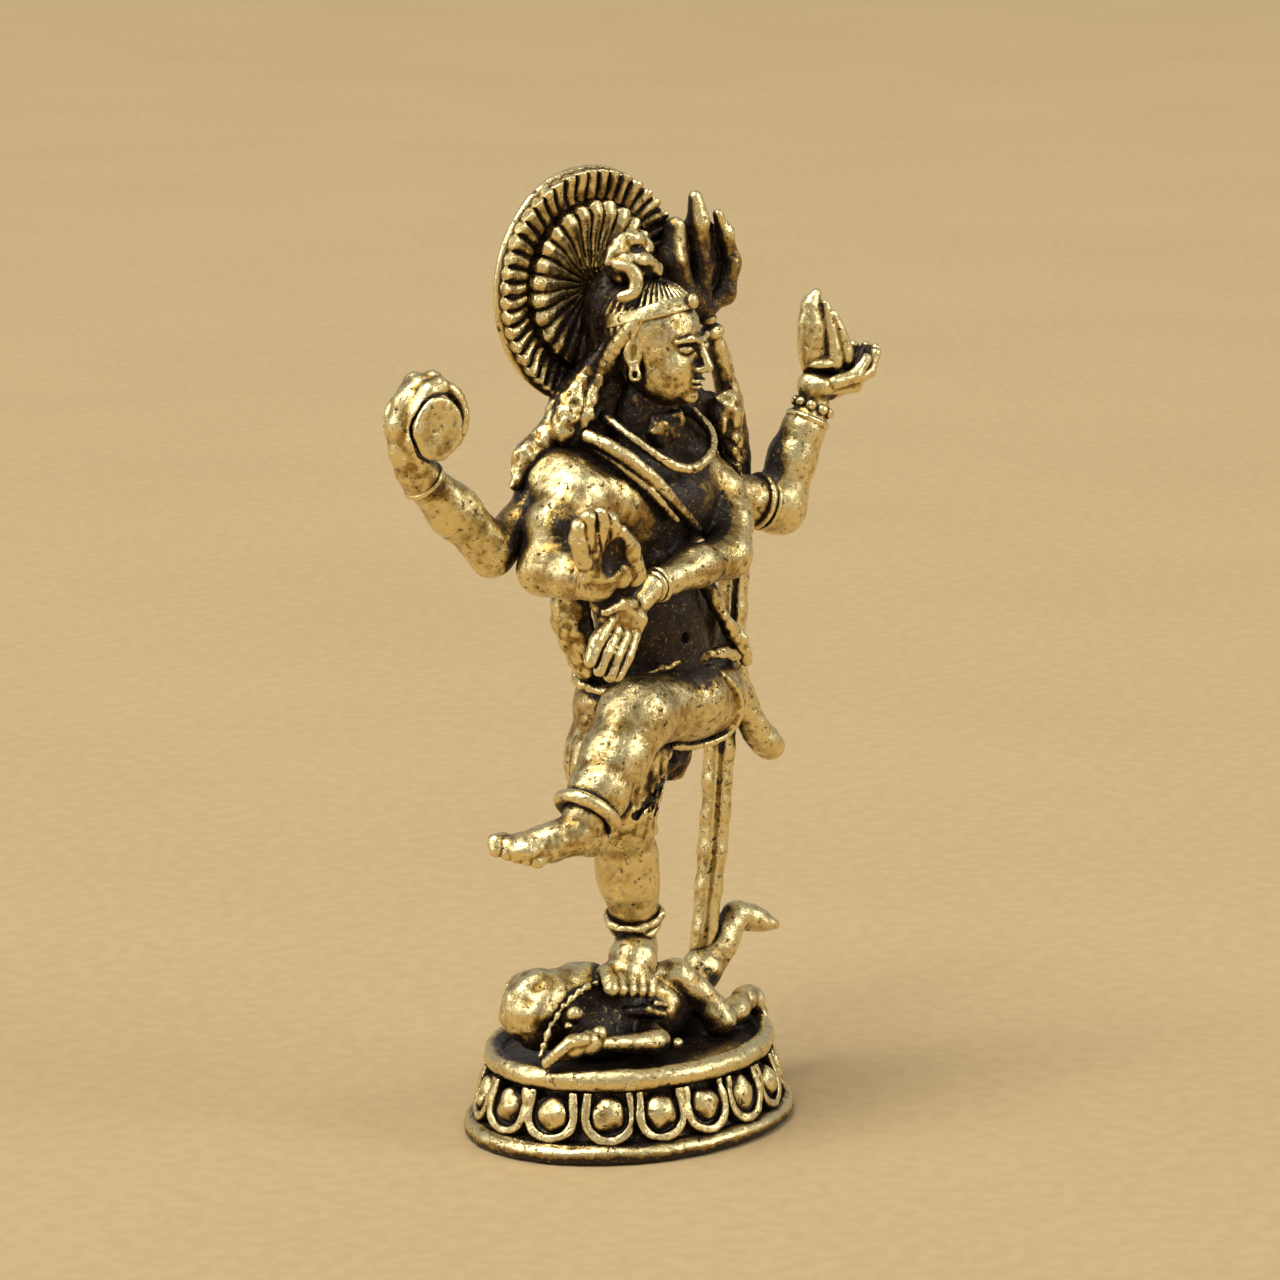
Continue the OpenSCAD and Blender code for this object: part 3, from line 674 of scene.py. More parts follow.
raised_hem = cord(
    [(3.2, -3.3, 26.4), (4.3, -3.4, 25.6), (5.3, -3.3, 24.6), (5.6, -3.0, 23.2), (4.7, -2.7, 22.1),
     (2.6, -2.6, 21.9), (0.6, -3.0, 22.3)], [0.22], 3)

hips = join(
    0.9, egg((1.9, -0.2, 24.9), (3.9, 2.7, 2.5)), egg((5.0, 0.3, 24.5), (2.9, 2.5, 2.6)),
    egg((-0.4, 0.2, 24.4), (2.9, 2.6, 2.6)), egg((2.3, 1.5, 24.2), (3.4, 1.8, 2.4)))
belly = join(0.6, path([(1.6, -0.4, 26.5), (1.1, -0.3, 29.3), (0.7, 0.0, 32.0)], [3.1, 2.75, 3.0], 1.2),
             egg((4.2, -0.3, 29.0), (2.0, 1.6, 2.6), (0, -20, 0)))
chest = join(
    1.0, egg((0.3, 0.2, 34.9), (4.6, 3.0, 4.0)), egg((-2.3, -1.1, 36.3), (2.2, 1.7, 2.0)),
    egg((2.7, -1.1, 35.6), (2.2, 1.7, 2.0)), limb((-4.6, 0.3, 37.2), (5.3, 0.3, 36.2), 2.0, 2.0),
    limb((-3.9, 1.4, 37.6), (-5.0, 1.2, 37.2), 1.9, 1.7))
trunk = join(0.9, belly, chest, hips)
navel = egg((1.2, -3.3, 28.4), (0.26, 0.5, 0.26))

loincloth_leg = folded(roughened(join(0.3, standing_thigh, thigh_hem), 0.1, 0.5), 17, 0.22, (-1.2, -0.4))
creases = join(
    0.0, path([(1.2, -2.2, 21.6), (-0.5, -2.8, 20.1), (-2.1, -2.9, 18.7)], [0.14, 0.24, 0.16]),
    path([(1.3, -2.0, 21.0), (-0.1, -2.6, 19.8), (-1.4, -2.8, 18.6)], [0.12, 0.2, 0.14]),
    path([(1.3, -1.7, 20.2), (0.4, -2.3, 19.3), (-0.6, -2.6, 18.4)], [0.1, 0.18, 0.12]))
creased_leg = carve(0.1, loincloth_leg, roughened(creases, 0.24, 0.4))
piece("standing_thigh", rooted(creased_leg, hips, 0.5), ["standing_thigh"])
piece("standing_shin", rooted(standing_shin, standing_thigh, 0.25), ["standing_shin"])
anklet_r = join(0.08, bangle(KNEE_R, ANKLE_R, 0.93, 1.45, 0.3), bangle(KNEE_R, ANKLE_R, 1.0, 1.32, 0.26))
piece("standing_anklet", roughened(anklet_r, 0.13, 0.5), ["anklets"], FINE)
standing_foot = rooted(join(0.15, standing_foot, standing_toes), dwarf_body, 0.12)
piece("standing_foot", standing_foot, ["standing_foot"], FINE)
raised_cloth = join(0.05, raised_thigh, raised_hem)
piece("raised_thigh", rooted(raised_cloth, hips, 0.3), ["raised_thigh"], patina_and_shade=0.08)
piece("raised_shin", rooted(raised_shin, raised_thigh, 0.6), ["raised_shin"], patina_and_shade=0.12)
piece("raised_anklet", bangle(KNEE_L, ANKLE_L, 0.97, 1.6, 0.38), ["anklets"], FINE)
piece("raised_foot", rooted(join(0.15, raised_foot, raised_toes), raised_shin, 0.3), ["raised_foot"], FINE)
piece("hips", rooted(hips, belly, 0.6), ["pelvis"])
piece("belly", carve(0.15, rooted(belly, chest, 0.7), navel), ["belly"])
piece("chest", carve(0.2, chest, limb((0.2, -3.4, 37.4), (0.4, -3.3, 33.6), 0.25, 0.4)), ["chest"])

# ------------------------------------------------------------ sashes and cords
def sash(points, radii, lumps=0.09):
    """A twisted cloth sash, with lumps on it."""
    return roughened(cord(points, radii, 3, 0.2), lumps, 0.75)


sash_left = sash(
    [(3.3, -2.6, 31.4), (4.0, -2.6, 30.2), (5.1, -2.4, 28.6), (6.4, -2.1, 27.2), (7.3, -1.7, 26.0)],
    [0.42, 0.45, 0.42, 0.5, 0.4])
sash_right = join(
    0.3,
    sash([(-3.6, 0.0, 32.2), (-3.9, 0.6, 30.4), (-3.5, 0.4, 28.4), (-2.5, 0.0, 26.2)], [0.7, 1.1, 1.1, 0.8]),
    sash([(-4.2, -1.0, 32.0), (-3.6, -1.8, 30.0), (-2.9, -2.2, 28.4), (-2.6, -2.4, 26.4)],
         [0.3, 0.35, 0.35, 0.3]))
girdle_folds = [
    sash([(-2.9 - 0.1 * i, -1.9, 25.6 - 0.75 * i), (-1.6, -2.6 - 0.1 * i, 26.3 - 0.7 * i),
          (0.4, -3.1, 27.0 - 0.5 * i)], [0.3, 0.28, 0.26]) for i in range(3)]
girdle = join(
    0.15, *girdle_folds,
    sash([(0.4, -3.1, 27.0), (2.6, -3.0, 27.1), (5.0, -2.6, 26.9), (7.0, -1.4, 26.3), (7.9, 0.4, 25.9)],
         [0.3, 0.28, 0.3, 0.32, 0.3]),
    sash([(7.9, 0.4, 25.9), (6.4, 2.3, 26.1), (2.4, 3.0, 26.4), (-1.6, 2.3, 26.0), (-3.2, 0.4, 25.8),
          (-2.9, -1.9, 25.6)], [0.3]))
sash_tail = join(
    0.5,
    sash([(8.2, 0.9, 25.0), (9.4, 1.0, 22.9), (10.7, 1.0, 20.9), (11.8, 1.0, 19.8)],
         [0.6, 0.75, 0.85, 0.85], 0.05),
    sash([(8.8, 0.6, 25.4), (10.2, 0.8, 22.6)], [0.35, 0.3], 0.05))
knot = join(
    0.25, sash([(1.2, -0.6, 22.4), (1.7, -0.8, 21.2), (1.4, -0.9, 20.0)], [0.5, 0.4, 0.35]),
    sash([(3.2, -0.2, 22.2), (3.6, 0.2, 20.8), (3.3, 0.2, 20.0), (2.5, 0.0, 20.4), (2.2, -0.4, 21.8)],
         [0.7, 0.75, 0.6, 0.45, 0.5]),
    egg((3.4, 0.1, 20.7), (1.2, 0.9, 1.2)), egg((2.2, -0.2, 20.6), (1.0, 0.8, 0.8)))
necklace_cord = cord(
    [(4.4, -0.4, 40.4), (4.6, -1.6, 39.5), (3.6, -2.7, 38.5), (1.7, -3.3, 37.95), (0.1, -3.2, 38.4),
     (-1.2, -2.5, 39.4), (-2.0, -0.8, 40.6), (-1.4, 0.9, 41.0), (1.0, 1.6, 41.2), (3.4, 0.9, 40.9),
     (4.4, -0.4, 40.4)], [0.3], k=0.05)
pendant = join(0.2, egg((0.7, -2.0, 40.1), (1.1, 0.5, 1.0)), egg((1.5, -2.0, 40.5), (0.6, 0.45, 0.6)))
thread = join(
    0.05,
    cord([(-3.6, -0.6, 40.0), (-3.2, -1.9, 39.6), (-2.2, -2.8, 38.7), (-0.8, -3.2, 37.4), (0.9, -3.2, 35.7),
          (2.3, -3.1, 34.4)], [0.42, 0.4, 0.26], k=0.05, at=[0, 0.6, 1]),
    cord([(-3.2, -0.8, 39.2), (-2.7, -2.2, 38.5), (-1.3, -3.1, 37.1), (0.5, -3.25, 35.2)], [0.22], k=0.05))
back_thread = cord(
    [(-3.6, -0.6, 40.0), (-3.8, 0.8, 39.9), (-2.6, 2.9, 38.2), (0.0, 3.4, 35.4), (2.9, 2.8, 32.0),
     (3.6, 1.4, 30.0)], [0.28], k=0.05)

piece("sash_left", roughened(sash_left, 0.1, 0.5), ["hip_sashes"], FINE, patina_and_shade=-0.6)
piece("sash_right", roughened(sash_right, 0.1, 0.5), ["hip_sashes"], FINE)
piece("girdle", roughened(girdle, 0.1, 0.4), ["pelvis"], FINE, patina_and_shade=-0.5)
piece("sash_tail", sash_tail, ["sash_tail"], FINE)
piece("girdle_knot", roughened(knot, 0.16, 0.5), ["girdle_knot"], FINE)
piece("necklace_cord", join(0.1, necklace_cord, roughened(pendant, 0.17, 0.45)), ["necklace"], FINE)
piece("sacred_thread", join(0.05, thread, back_thread), ["sacred_thread"], FINE)

# ---------------------------------------------------------------------- arms
SHOULDER_FR, ELBOW_FR, WRIST_FR = (-4.7, -0.8, 36.7), (-7.7, -1.6, 33.3), (-7.3, -5.5, 33.0)
SHOULDER_FL, ELBOW_FL, WRIST_FL = (6.4, -0.8, 35.6), (4.4, -3.3, 32.7), (-2.9, -5.0, 32.1)
SHOULDER_BR, ELBOW_BR, WRIST_BR = (-4.8, 1.6, 36.6), (-9.4, 0.8, 34.2), (-14.2, 0.9, 38.7)
SHOULDER_BL, ELBOW_BL, WRIST_BL = (3.6, 1.3, 36.5), (11.9, 0.5, 34.0), (14.1, 0.0, 39.6)
LOW_WRIST_BL = (13.5, 0.1, 38.4)  # where the bracelets of the flame arm begin

front_arm_r = path([SHOULDER_FR, (-6.4, -1.1, 35.2), ELBOW_FR], [2.0, 1.75, 1.4], 0.8)
front_fore_r = path([ELBOW_FR, (-7.7, -3.6, 33.2), WRIST_FR], [1.4, 1.25, 0.9], 0.6)
front_arm_l = path([SHOULDER_FL, (6.0, -1.8, 34.2), ELBOW_FL], [1.35, 1.25, 1.25], 0.6)
front_fore_l = path([ELBOW_FL, (1.2, -4.1, 32.6), WRIST_FL], [1.25, 1.15, 0.72], 0.6)
back_arm_r = path([SHOULDER_BR, (-7.0, 1.1, 35.3), ELBOW_BR], [1.4, 1.2, 1.25], 0.6)
back_fore_r = join(0.5, path([ELBOW_BR, (-12.0, 0.9, 36.7), WRIST_BR], [1.3, 1.4, 1.1], 0.6),
                   egg((-9.5, 0.8, 33.6), (0.7, 0.8, 0.85), (0, 30, 0)))
back_arm_l = path([SHOULDER_BL, (8.0, 0.9, 35.2), ELBOW_BL], [1.4, 1.25, 1.5], 0.6)
back_fore_l = path([ELBOW_BL, (12.8, 0.3, 36.7), LOW_WRIST_BL, WRIST_BL], [1.55, 1.35, 1.15, 0.9], 0.6)

palm_fr = join(
    0.35, limb(WRIST_FR, (-7.5, -6.1, 33.7), 0.9, 0.75),
    slab((-7.9, -6.3, 34.3), (1.25, 0.45, 1.1), 0.4, (8, 8, 0)), egg((-6.3, -6.3, 33.6), (0.9, 0.6, 0.9)))
fingers_fr = fingers(
    [(-9.0, -6.4, 34.6), (-8.5, -6.45, 35.1), (-7.9, -6.45, 35.2), (-7.2, -6.45, 35.1)],
    [(-9.7, -6.6, 35.8), (-9.1, -6.75, 36.4), (-8.2, -6.85, 36.6), (-7.3, -6.8, 36.3)],
    [(-9.7, -6.7, 36.6), (-9.2, -6.9, 37.1), (-8.4, -7.0, 37.2), (-7.5, -6.85, 36.8)], 0.5, 0.42)
thumb_fr = path([(-5.2, -6.2, 33.3), (-5.9, -6.6, 34.8), (-6.9, -6.95, 36.0)], [0.68, 0.62, 0.42], 0.2)
hollow_fr = join(
    0.1, egg((-7.4, -7.3, 34.5), (0.8, 0.85, 1.3), (0, 10, 0)),
    path([(-7.9, -7.1, 35.4), (-7.8, -7.4, 36.8)], [0.16, 0.1]),
    path([(-8.7, -7.0, 35.2), (-8.7, -7.3, 36.6)], [0.14, 0.1]))
palm_fl = join(
    0.35, limb(WRIST_FL, (-3.9, -5.1, 31.4), 0.7, 0.65),
    slab((-5.2, -5.4, 30.6), (1.35, 0.42, 0.9), 0.38, (6, 30, 0)), egg((-6.6, -5.5, 30.9), (0.5, 0.4, 0.4)))
fingers_fl = fingers(
    [(-6.6, -5.5, 30.7), (-6.1, -5.6, 30.2), (-5.5, -5.65, 29.9), (-4.8, -5.6, 29.7)],
    [(-7.6, -5.8, 29.9), (-7.1, -5.95, 29.2), (-6.4, -6.0, 28.9), (-5.5, -5.9, 28.8)],
    [(-8.2, -5.9, 28.9), (-7.6, -6.0, 28.3), (-6.9, -6.05, 27.9), (-6.2, -5.95, 27.8)], 0.45, 0.35)
thumb_fl = path([(-4.7, -5.3, 31.4), (-5.8, -5.6, 31.7), (-6.9, -5.7, 31.4)], [0.45, 0.4, 0.28], 0.2)

DRUM_ENDS = ((-14.8, -1.3, 41.8), (-14.5, 2.0, 41.9))


def drum_distance(p):
    """A short waisted drum with a flat skin at each end."""
    a, b = (np.asarray(e) for e in DRUM_ENDS)
    run = (b - a) / np.linalg.norm(b - a)
    q = p - vec((a + b) / 2)
    t = (q * vec(run)).sum(0)
    r = np.sqrt(np.maximum((q * q).sum(0) - t * t, 0) + 0.35 * q[0] ** 2)
    half = np.linalg.norm(b - a) / 2
    wide = 1.25 + 0.75 * np.clip(np.abs(t) / half, 0, 1.2) ** 1.5
    rim = np.sqrt(np.maximum(np.abs(t) - half + 0.5, 0) ** 2 + np.maximum(r - wide + 0.5, 0) ** 2) - 0.5
    return np.maximum(rim, (r - wide) * 0.9) + 0.08 * noise(p, 1.1)


drum = Shape(drum_distance, (-17.0, -1.9, 39.7), (-12.7, 2.5, 43.9))
palm_br = join(
    0.4, limb(WRIST_BR, (-14.8, 0.8, 39.3), 1.05, 1.05),
    path([(-15.0, 0.6, 39.4), (-15.8, 0.5, 40.5), (-16.0, 0.5, 41.9), (-15.6, 0.4, 43.1), (-14.8, 0.4, 43.8)],
         [0.95, 0.82, 0.8, 0.78, 0.7], 0.4),
    path([(-15.2, -0.2, 39.9), (-15.9, -0.5, 41.2), (-15.7, -0.6, 42.6), (-14.9, -0.5, 43.4)],
         [0.5, 0.5, 0.5, 0.45], 0.3))
fingers_br = fingers(
    [(-15.3, 0.5, 43.2), (-15.3, -0.5, 43.0), (-15.0, 1.3, 43.0)],
    [(-14.8, 0.3, 43.9), (-14.9, -0.6, 43.7), (-14.3, 1.4, 43.9)],
    [(-14.1, 0.1, 44.3), (-14.3, -0.7, 44.0), (-13.6, 1.3, 43.8)], 0.75, 0.55)
thumb_br = cord([(-14.5, 0.1, 44.0), (-13.4, -0.4, 43.7), (-12.75, -0.6, 42.8), (-12.7, -0.6, 41.7),
                 (-13.1, -0.4, 40.8)], [0.4], 3)

palm_bl = join(
    0.3, limb(WRIST_BL, (14.2, 0.0, 40.6), 0.85, 0.9),
    path([(14.0, 0.1, 40.9), (15.4, -0.1, 40.6), (17.0, -0.25, 40.9)], [0.75, 0.72, 0.6], 0.3),
    slab((15.4, -0.2, 40.75), (1.7, 1.05, 0.5), 0.42, (0, 4, 0)))
fingers_bl = fingers(
    [(16.4, -0.95, 40.9), (16.6, -0.4, 40.9), (16.6, 0.2, 40.9), (16.3, 0.7, 40.9)],
    [(17.6, -1.0, 41.4), (17.9, -0.4, 41.4), (17.8, 0.2, 41.4), (17.4, 0.75, 41.4)],
    [(18.1, -1.0, 42.4), (18.6, -0.45, 42.5), (18.5, 0.15, 42.6), (18.0, 0.7, 42.6)], 0.42, 0.34)
thumb_bl = path([(14.8, -1.0, 41.0), (16.2, -1.3, 41.3), (17.0, -1.35, 42.2)], [0.45, 0.42, 0.33], 0.2)

piece("front_upper_arm_right", rooted(front_arm_r, chest, 0.9), ["front_arm_right_upper"])
piece("front_forearm_right", rooted(front_fore_r, front_arm_r, 0.7), ["front_arm_right_fore"])
blessing = carve(0.15, join(0.1, palm_fr, fingers_fr, thumb_fr), hollow_fr)
piece("blessing_hand", rooted(roughened(blessing, 0.05, 0.5), front_fore_r, 0.35), ["blessing_hand"], FINE)
piece("front_upper_arm_left", rooted(front_arm_l, chest, 0.8), ["front_arm_left_upper"])
piece("front_forearm_left", rooted(front_fore_l, front_arm_l, 0.7), ["front_arm_left_fore"])
bracelets_fl = join(
    0.04, bangle(ELBOW_FL, WRIST_FL, 0.92, 0.82, 0.17), bangle(ELBOW_FL, WRIST_FL, 0.98, 0.76, 0.17))
piece("front_bracelets_left", roughened(bracelets_fl, 0.06, 0.4), ["bracelets"], FINE)
pointing_hand = join(0.1, palm_fl, fingers_fl, thumb_fl)
piece("pointing_hand", rooted(pointing_hand, front_fore_l, 0.3), ["pointing_hand"], FINE)
piece("back_upper_arm_right", rooted(back_arm_r, chest, 0.8), ["back_arm_right_upper"])
piece("back_forearm_right", rooted(back_fore_r, back_arm_r, 0.6), ["back_arm_right_fore"])
piece("back_bracelet_right", bangle(ELBOW_BR, WRIST_BR, 0.99, 1.1, 0.2), ["bracelets"], FINE)
DRUM_GAP = 0.14  # mm of shadow between the drum and the hand
round_drum = Shape(lambda p: drum_distance(p) - DRUM_GAP, drum.low, drum.high)
drum_hand = carve(0.05, rooted(join(0.3, palm_br, fingers_br, thumb_br), back_fore_r, 0.4), round_drum)
piece("drum_hand", drum_hand, ["drum_hand"], FINE)
piece("drum", drum, ["drum"], FINE)
piece("back_upper_arm_left", rooted(back_arm_l, chest, 0.6), ["back_arm_left_upper"])
armlet_bl = join(
    0.04, bangle(SHOULDER_BL, ELBOW_BL, 0.81, 1.45, 0.22), bangle(SHOULDER_BL, ELBOW_BL, 0.87, 1.45, 0.18))
piece("back_armlet_left", armlet_bl, ["back_armlet_left"], FINE)
piece("back_forearm_left", rooted(back_fore_l, back_arm_l, 0.7), ["back_arm_left_fore"])


def bead_ring(a, b, share, radius, size):
    """Round beads set side by side round the bar from a to b."""
    centre = np.asarray(between(a, b, share))
    run = (np.asarray(b) - np.asarray(a)) / np.linalg.norm(np.asarray(b) - np.asarray(a))
    side = np.cross(run, (0.0, 1.0, 0.0))
    side /= np.linalg.norm(side)
    other = np.cross(run, side)
    count = int(2 * math.pi * radius / (size * 1.9))
    turns = [2 * math.pi * i / count for i in range(count)]
    spots = [centre + radius * (math.cos(t) * side + math.sin(t) * other) for t in turns]
    return join(0.03, *[egg(spot, (size,) * 3) for spot in spots])


bracelets_bl = join(
    0.03, bead_ring(LOW_WRIST_BL, WRIST_BL, 0.95, 1.0, 0.34), bangle(LOW_WRIST_BL, WRIST_BL, 0.4, 1.08, 0.24))
piece("back_bracelets_left", bracelets_bl, ["bracelets"], FINE)
piece("flame_hand", rooted(join(0.1, palm_bl, fingers_bl, thumb_bl), back_fore_l, 0.3), ["flame_hand"], FINE)

flame = join(
    0.12,
    egg((14.4, 0.4, 43.3), (0.95, 0.8, 2.4), (0, -3, 0)),
    path([(14.2, 0.4, 44.4), (14.3, 0.45, 45.4), (14.7, 0.4, 46.0)], [0.7, 0.5, 0.32], 0.4),
    cord([(15.4, -0.4, 41.9), (15.2, -0.3, 43.7), (14.9, -0.1, 45.5)], [0.5, 0.24], 6, 0.2),
    cord([(16.3, -0.5, 42.0), (15.9, -0.45, 43.4), (15.3, -0.3, 44.9)], [0.5, 0.24], 6, 0.2),
    path([(15.7, 0.7, 41.9), (15.4, 0.7, 43.4), (15.1, 0.55, 44.8)], [0.7, 0.55, 0.2], 0.2),
    egg((15.1, 0.0, 42.0), (1.35, 0.8, 0.5)))
piece("flame", flame, ["flame"], FINE)

# ---------------------------------------------------------------------- head
HEAD = (1.08, -1.0, 44.65)
HEAD_SIZE = 1.08
HEAD_TURN = (4, 0, 21)  # degrees; the head looks a little down and towards the dancer's left

skull = join(
    0.7, egg((0, 0.55, 0.9), (2.3, 2.6, 2.35)), egg((0, -0.55, -0.5), (1.95, 2.0, 2.5)),
    egg((0, -0.6, -1.5), (1.6, 1.55, 1.25)))
cheeks = mirrored((1.0, -1.75, -0.75), (0.75, 0.6, 0.8))
chin = egg((0, -1.95, -2.35), (0.6, 0.5, 0.45))
brows = join(0.25, *[path([(s * 0.3, -2.5, 0.62), (s * 0.85, -2.4, 0.78), (s * 1.45, -1.95, 0.62)],
                          [0.16, 0.17, 0.12], 0.1) for s in (-1, 1)])
sockets = mirrored((0.85, -2.75, 0.25), (0.55, 0.45, 0.26))
lids = mirrored((0.86, -2.1, 0.2), (0.5, 0.42, 0.27))
lid_lines = join(0.02, *[path([(s * 0.42, -2.5, 0.12), (s * 0.85, -2.62, 0.02), (s * 1.28, -2.35, 0.12)],
                              [0.06, 0.08, 0.05], 0.05) for s in (-1, 1)])
nose = join(
    0.2, path([(0, -2.4, 0.6), (0, -2.7, -0.1), (0, -2.98, -0.72)], [0.2, 0.24, 0.33], 0.15),
    mirrored((0.3, -2.65, -0.85), (0.25, 0.28, 0.2)))
lips = join(
    0.08, mirrored((0.22, -2.55, -1.46), (0.36, 0.25, 0.14)), egg((0, -2.5, -1.76), (0.4, 0.27, 0.16)))
lip_line = path([(-0.55, -2.45, -1.62), (0, -2.8, -1.6), (0.55, -2.45, -1.62)], [0.05, 0.07, 0.05], 0.05)
face = carve(0.35, join(0.35, skull, cheeks, chin), sockets)
face = carve(0.1, join(0.2, face, brows, nose, lips), lip_line)
face = carve(0.06, join(0.06, face, lids), lid_lines)


def ear(side):
    """The ear on one side (-1 or 1), with its shell and the slit of its long lobe hollowed out."""
    lobe = path([(side * 2.2, 0.1, -0.7), (side * 2.25, 0.0, -1.25)], [0.3, 0.36], 0.2)
    whole = join(0.2, egg((side * 2.15, 0.2, -0.1), (0.34, 0.55, 0.9), (0, 0, -20 * side)), lobe)
    whole = carve(0.12, whole, egg((side * 2.5, 0.0, 0.0), (0.25, 0.28, 0.5)))
    return carve(0.12, whole, egg((side * 2.5, -0.1, -1.2), (0.2, 0.15, 0.2)))


ears = join(0.15, ear(-1), ear(1))


def cap_band(low, high, lift, tilt, grooves=0.0):
    """A band round the skull between two heights, tilted up towards the back."""

    def distance(p):
        level = p[2] + tilt * p[1]
        shell = skull(p) - lift
        if grooves:
            angle = np.arctan2(p[0], p[1] - 0.3)
            shell = shell + grooves * (1 - np.abs(np.cos(angle * 17 + 0.5 * noise(p, 1.2))) ** 0.6)
        block = np.maximum(level - high, low - level)
        edge = np.sqrt(np.maximum(shell + 0.15, 0) ** 2 + np.maximum(block + 0.15, 0) ** 2) - 0.15
        return np.maximum(np.maximum(shell, block), edge)

    return Shape(distance, (-2.9, -3.2, -2.5), (2.9, 3.7, 4.3))


band = join(0.1, cap_band(1.5, 2.35, 0.28, 0.35), egg((0, -1.9, 2.55), (0.4, 0.3, 0.4)))
hair_cap = join(0.15, cap_band(1.9, 6.0, 0.26, 0.35, 0.22), cap_band(0.9, 9.0, 0.22, 3.0, 0.2))
swept_hair = join(0.1, *[
    cord([(-2.1, 0.2 + 0.3 * i, 1.6 - 0.35 * i), (-2.35, 0.9 + 0.3 * i, 0.4 - 0.4 * i),
          (-2.1, 1.6 + 0.2 * i, -1.2 - 0.3 * i)], [0.34], 3) for i in range(4)])

for name, shape, node in (("face", face, "head"), ("ears", ears, "ears"), ("diadem", band, "diadem"),
                          ("hair_cap", join(0.1, hair_cap, swept_hair), "head")):
    piece(name, placed(shape, HEAD, HEAD_TURN, HEAD_SIZE), [node], FINE * 0.9)

neck = path([(0.6, 0.3, 38.6), (0.8, 0.0, 40.4), (1.2, -0.5, 42.4)], [2.3, 1.75, 1.7], 0.8)
neck = join(0.6, neck, limb((1.5, 0.5, 40.6), (5.6, 0.8, 37.6), 1.2, 1.2))
piece("neck", rooted(neck, chest, 0.6), ["neck"])
back_hair = join(0.5, egg((0.4, 1.5, 46.0), (2.2, 1.7, 2.9)), egg((0.5, 1.4, 42.8), (2.4, 1.3, 2.6)),
                 egg((2.8, 1.3, 41.2), (1.9, 1.0, 1.9)))
piece("hair_back", folded(back_hair, 30, 0.2, (0.4, 0.2)), ["hair_back"])
bun = join(
    0.16, egg((0.1, 0.3, 49.2), (1.45, 1.15, 1.2)),
    cord([(-1.6, -0.2, 49.5), (-1.2, -0.4, 50.3), (-0.2, -0.6, 50.6), (0.7, -0.4, 50.1), (1.2, 0.1, 49.1)],
         [0.45], 3),
    cord([(-1.4, -0.8, 49.3), (-0.3, -1.2, 49.5), (1.0, -0.8, 48.8)], [0.5], 3),
    cord([(-1.2, -0.6, 48.7), (-0.2, -1.0, 48.9), (0.7, -0.6, 48.3)], [0.4], 3),
    egg((-0.2, -0.6, 49.95), (1.0, 0.5, 0.5)), egg((0.0, 0.6, 50.2), (0.8, 0.8, 0.7)))
piece("topknot", roughened(bun, 0.13, 0.5), ["topknot"], FINE)
crescent = cord(
    [(-1.9, -1.0, 49.4), (-1.35, -1.5, 49.2), (-1.1, -1.75, 48.6), (-1.4, -1.8, 47.9), (-2.0, -1.5, 47.7)],
    [0.26, 0.4, 0.3])
piece("crescent", crescent, ["crescent"], FINE)
right_lock = join(
    0.3, lock([(0.2, 0.1, 45.6), (-1.3, 0.6, 44.0), (-2.6, 0.9, 42.5), (-3.5, 0.9, 41.2), (-3.9, 0.8, 40.3)],
              [0.6, 0.85, 1.15, 1.4, 1.2], 4, 0.6, 0.3),
    path([(-4.4, 1.5, 40.0), (-6.2, 1.6, 38.9), (-7.1, 1.5, 37.5)], [0.9, 0.7, 0.4], 0.4))
left_lock = join(
    0.15, egg((7.3, 0.1, 39.9), (1.15, 0.9, 1.3), (0, 20, 0)),
    ring((7.6, -0.2, 40.6), (0.4, -1, 0.6), 0.55, 0.24),
    lock([(7.6, 0.1, 39.2), (7.9, 0.2, 37.6), (8.4, 0.3, 36.4)], [0.8, 0.6, 0.4], 3, 3.0, 0.2))
nape_hair = join(
    0.5, egg((4.8, 1.3, 40.4), (2.4, 0.9, 1.9), (0, 25, 0)), egg((6.9, 1.1, 39.3), (1.6, 0.8, 1.8)),
    egg((-1.7, 1.0, 40.5), (1.9, 0.9, 1.6)), egg((-1.0, 0.6, 42.4), (1.3, 0.9, 1.6)))
piece("right_lock", roughened(right_lock, 0.13, 0.45), ["hair_locks"], FINE, patina_and_shade=0.12)
piece("left_lock", roughened(left_lock, 0.2, 0.5), ["hair_locks"], FINE, patina_and_shade=0.12)
piece("nape_hair", roughened(nape_hair, 0.12, 0.6), ["hair_back"], patina_and_shade=0.3)

# ---------------------------------------------------------------------- halo
HALO = (-0.6, 3.3, 47.8)
HALO_R = 6.6


def halo_polar(p):
    x, z = p[0] - HALO[0], p[2] - HALO[2]
    return np.sqrt(x * x + z * z), np.arctan2(x, z)


def disc_distance(p):
    r, angle = halo_polar(p)
    rim = np.sqrt(np.maximum(np.abs(r - HALO_R + 0.3) - 0.1, 0) ** 2 + (p[1] - 3.05) ** 2) - 0.24
    back = 3.2 + 0.35 * np.clip(1 - r / HALO_R, 0, 1) - 0.05 * np.cos(angle * 40) * np.clip(r / 3 - 0.6, 0, 1)
    plate = np.maximum(r - HALO_R + 0.2, np.maximum(2.75 - p[1], p[1] - back))
    return soft_min(plate, rim, 0.1)


def wobbled(p, angle, r):
    return angle + 0.035 * noise(p, 1.6) + 0.008 * np.sin(r * 3 + angle * 5)


